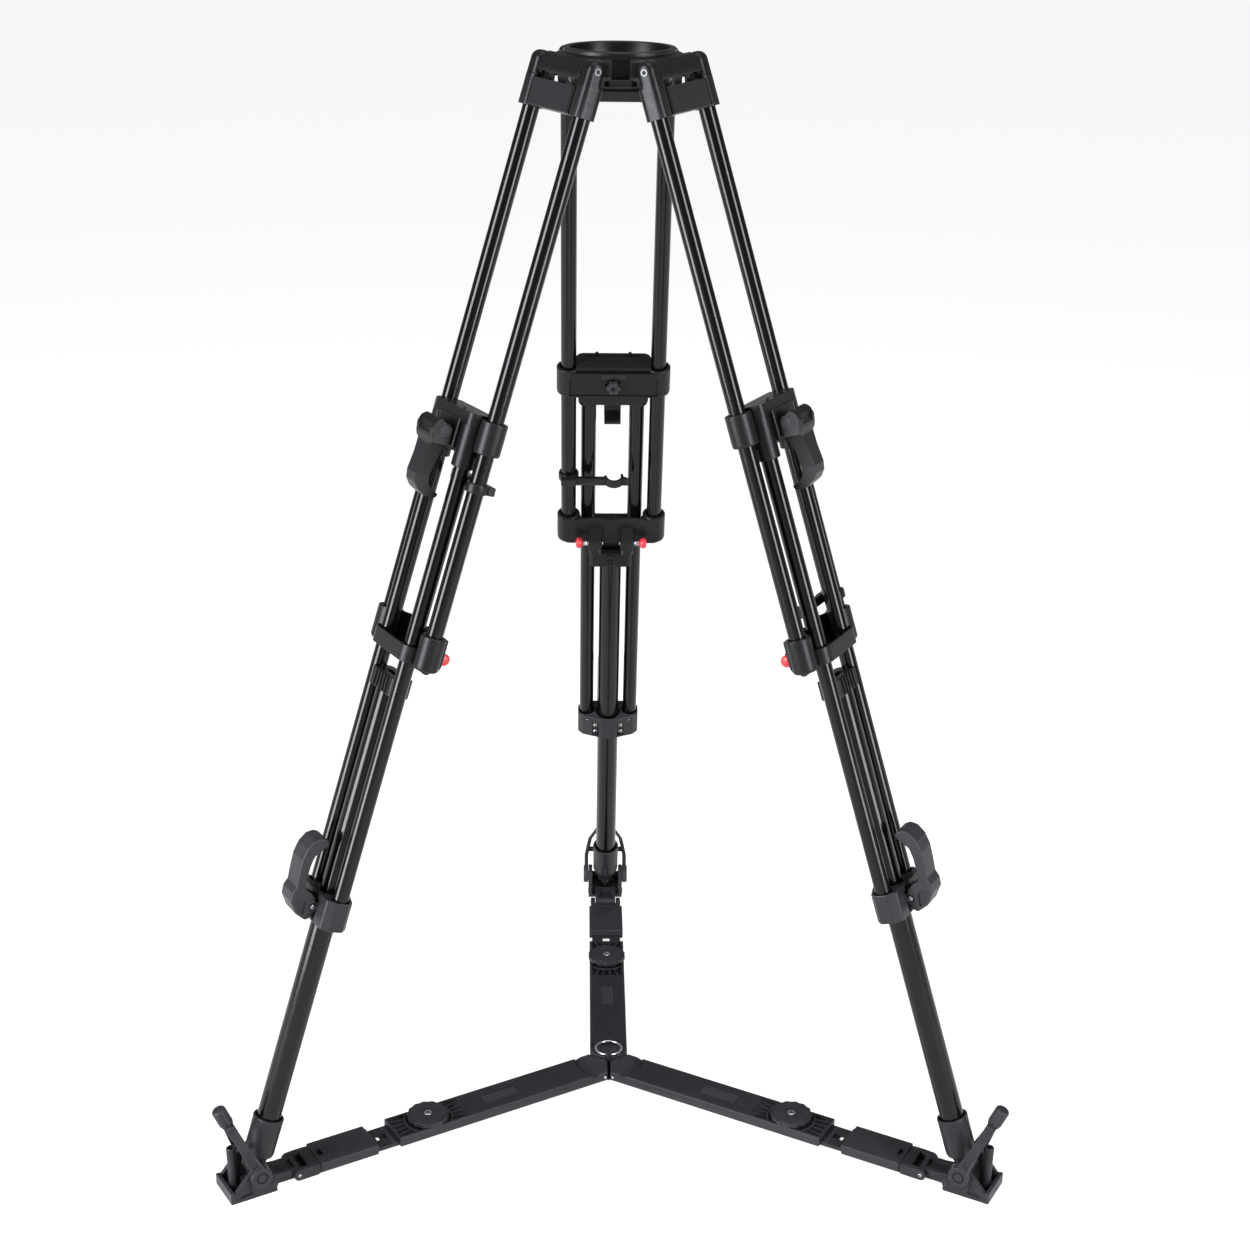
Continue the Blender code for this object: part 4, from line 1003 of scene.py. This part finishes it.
def build():
    crown()
    for name in LEG_NAMES:
        place = leg_place(name)
        shift = joint_place("clamp_lever_hinge_" + name, place).z - CLAMP_PIVOT[1]
        yoke(name, place)
        outer_tubes(name, place)
        lower_casting(name, place)
        spring_pin(name, place, "a", -1)
        spring_pin(name, place, "b", 1)
        clamp_casting(name, place, shift)
        clamp_lever(name, place, shift)
        tension_knob(name, place, shift)
        middle_frame(name, place, shift)
        lower_lever(name, place, shift)
        lower_tube(name, place)
        foot_socket(name, place)
        cable_clip(name, place)
        along = arm_place(name)
        foot_block(name, along)
        foot_lever(name, along)
        arm_outer(name, along)
        arm_inner(name, along)
        disc_knob(name, along)
    hub()


# ---------------------------------------------------------------- floor, light and camera


def floor():
    size = FLOOR_HALF_SIZE
    mesh = bpy.data.meshes.new("floor")
    mesh.from_pydata([(-size, -size, 0), (size, -size, 0), (size, size, 0), (-size, size, 0)], [], [(0, 1, 2, 3)])
    made = linked("floor", mesh)
    paint, tree, shader = new_finish("floor_paint", (0.3, 0.3, 0.3), 0.9, specular=0.1)
    place = tree.nodes.new("ShaderNodeTexCoord")
    cloud = noise(tree, place, 0.6, 2.0)
    tint = tree.nodes.new("ShaderNodeMix")
    tint.data_type = "RGBA"
    tint.inputs["A"].default_value = (0.295, 0.295, 0.295, 1.0)
    tint.inputs["B"].default_value = (0.305, 0.305, 0.307, 1.0)
    tree.links.new(cloud.outputs["Fac"], tint.inputs["Factor"])
    tree.links.new(tint.outputs["Result"], shader.inputs["Base Color"])
    shader.inputs["Emission Color"].default_value = (1.0, 1.0, 1.0, 1.0)
    shader.inputs["Emission Strength"].default_value = 0.86
    made.data.materials.append(paint)


def area_light(name, at, toward, size, power, colour=(1.0, 1.0, 1.0)):
    data = bpy.data.lights.new(name, "AREA")
    data.shape = "RECTANGLE"
    data.size, data.size_y = size
    data.energy = power
    data.color = colour
    light = linked(name, data)
    light.location = at
    light.rotation_euler = (Vector(toward) - Vector(at)).to_track_quat("-Z", "Y").to_euler()


def lights():
    world = bpy.data.worlds.new("studio")
    bpy.context.scene.world = world
    world.use_nodes = True
    background = world.node_tree.nodes["Background"]
    background.inputs["Color"].default_value = (0.96, 0.98, 1.0, 1.0)
    # The sky lights the tripod softly and shows pale beyond the floor's edge.
    links, nodes = world.node_tree.links, world.node_tree.nodes
    path = nodes.new("ShaderNodeLightPath")
    strength = nodes.new("ShaderNodeMapRange")
    strength.inputs["To Min"].default_value = SKY_LIGHT
    strength.inputs["To Max"].default_value = SKY_BACKDROP
    links.new(path.outputs["Is Camera Ray"], strength.inputs["Value"])
    links.new(strength.outputs["Result"], background.inputs["Strength"])
    area_light("soft_left", (-2.05, -1.45, 1.25), (0.0, 0.0, 0.62), (1.1, 2.3), 165.0, (0.93, 0.96, 1.0))
    area_light("soft_right", (1.85, -1.75, 1.35), (0.0, 0.0, 0.62), (0.9, 2.2), 105.0, (0.93, 0.96, 1.0))
    area_light("soft_top", (0.3, -0.5, 3.4), (0.0, 0.0, 0.3), (2.4, 2.4), 48.0)
    bpy.context.scene.view_settings.view_transform = "Standard"
    bpy.context.scene.view_settings.exposure = 0.0


def camera():
    """The photograph's viewpoint: a long lens a little over two metres in front of the tripod, looking down."""
    yaw, pitch, roll = math.radians(1.325), math.radians(21.14), math.radians(0.747)
    forward = Vector((math.sin(yaw) * math.cos(pitch), math.cos(yaw) * math.cos(pitch), -math.sin(pitch)))
    level = Vector((math.cos(yaw), -math.sin(yaw), 0.0))
    upright = level.cross(forward)
    right = math.cos(roll) * level + math.sin(roll) * upright
    up = -math.sin(roll) * level + math.cos(roll) * upright
    data = bpy.data.cameras.new("camera")
    data.lens = 61.57
    data.sensor_width = 36.0
    data.clip_end = 60.0
    made = linked("camera", data)
    turn = Matrix((right, up, -forward)).transposed().to_4x4()
    made.matrix_world = Matrix.Translation((-0.0382, -2.3177, 1.4242)) @ turn
    bpy.context.scene.camera = made


build()
floor()
lights()
camera()
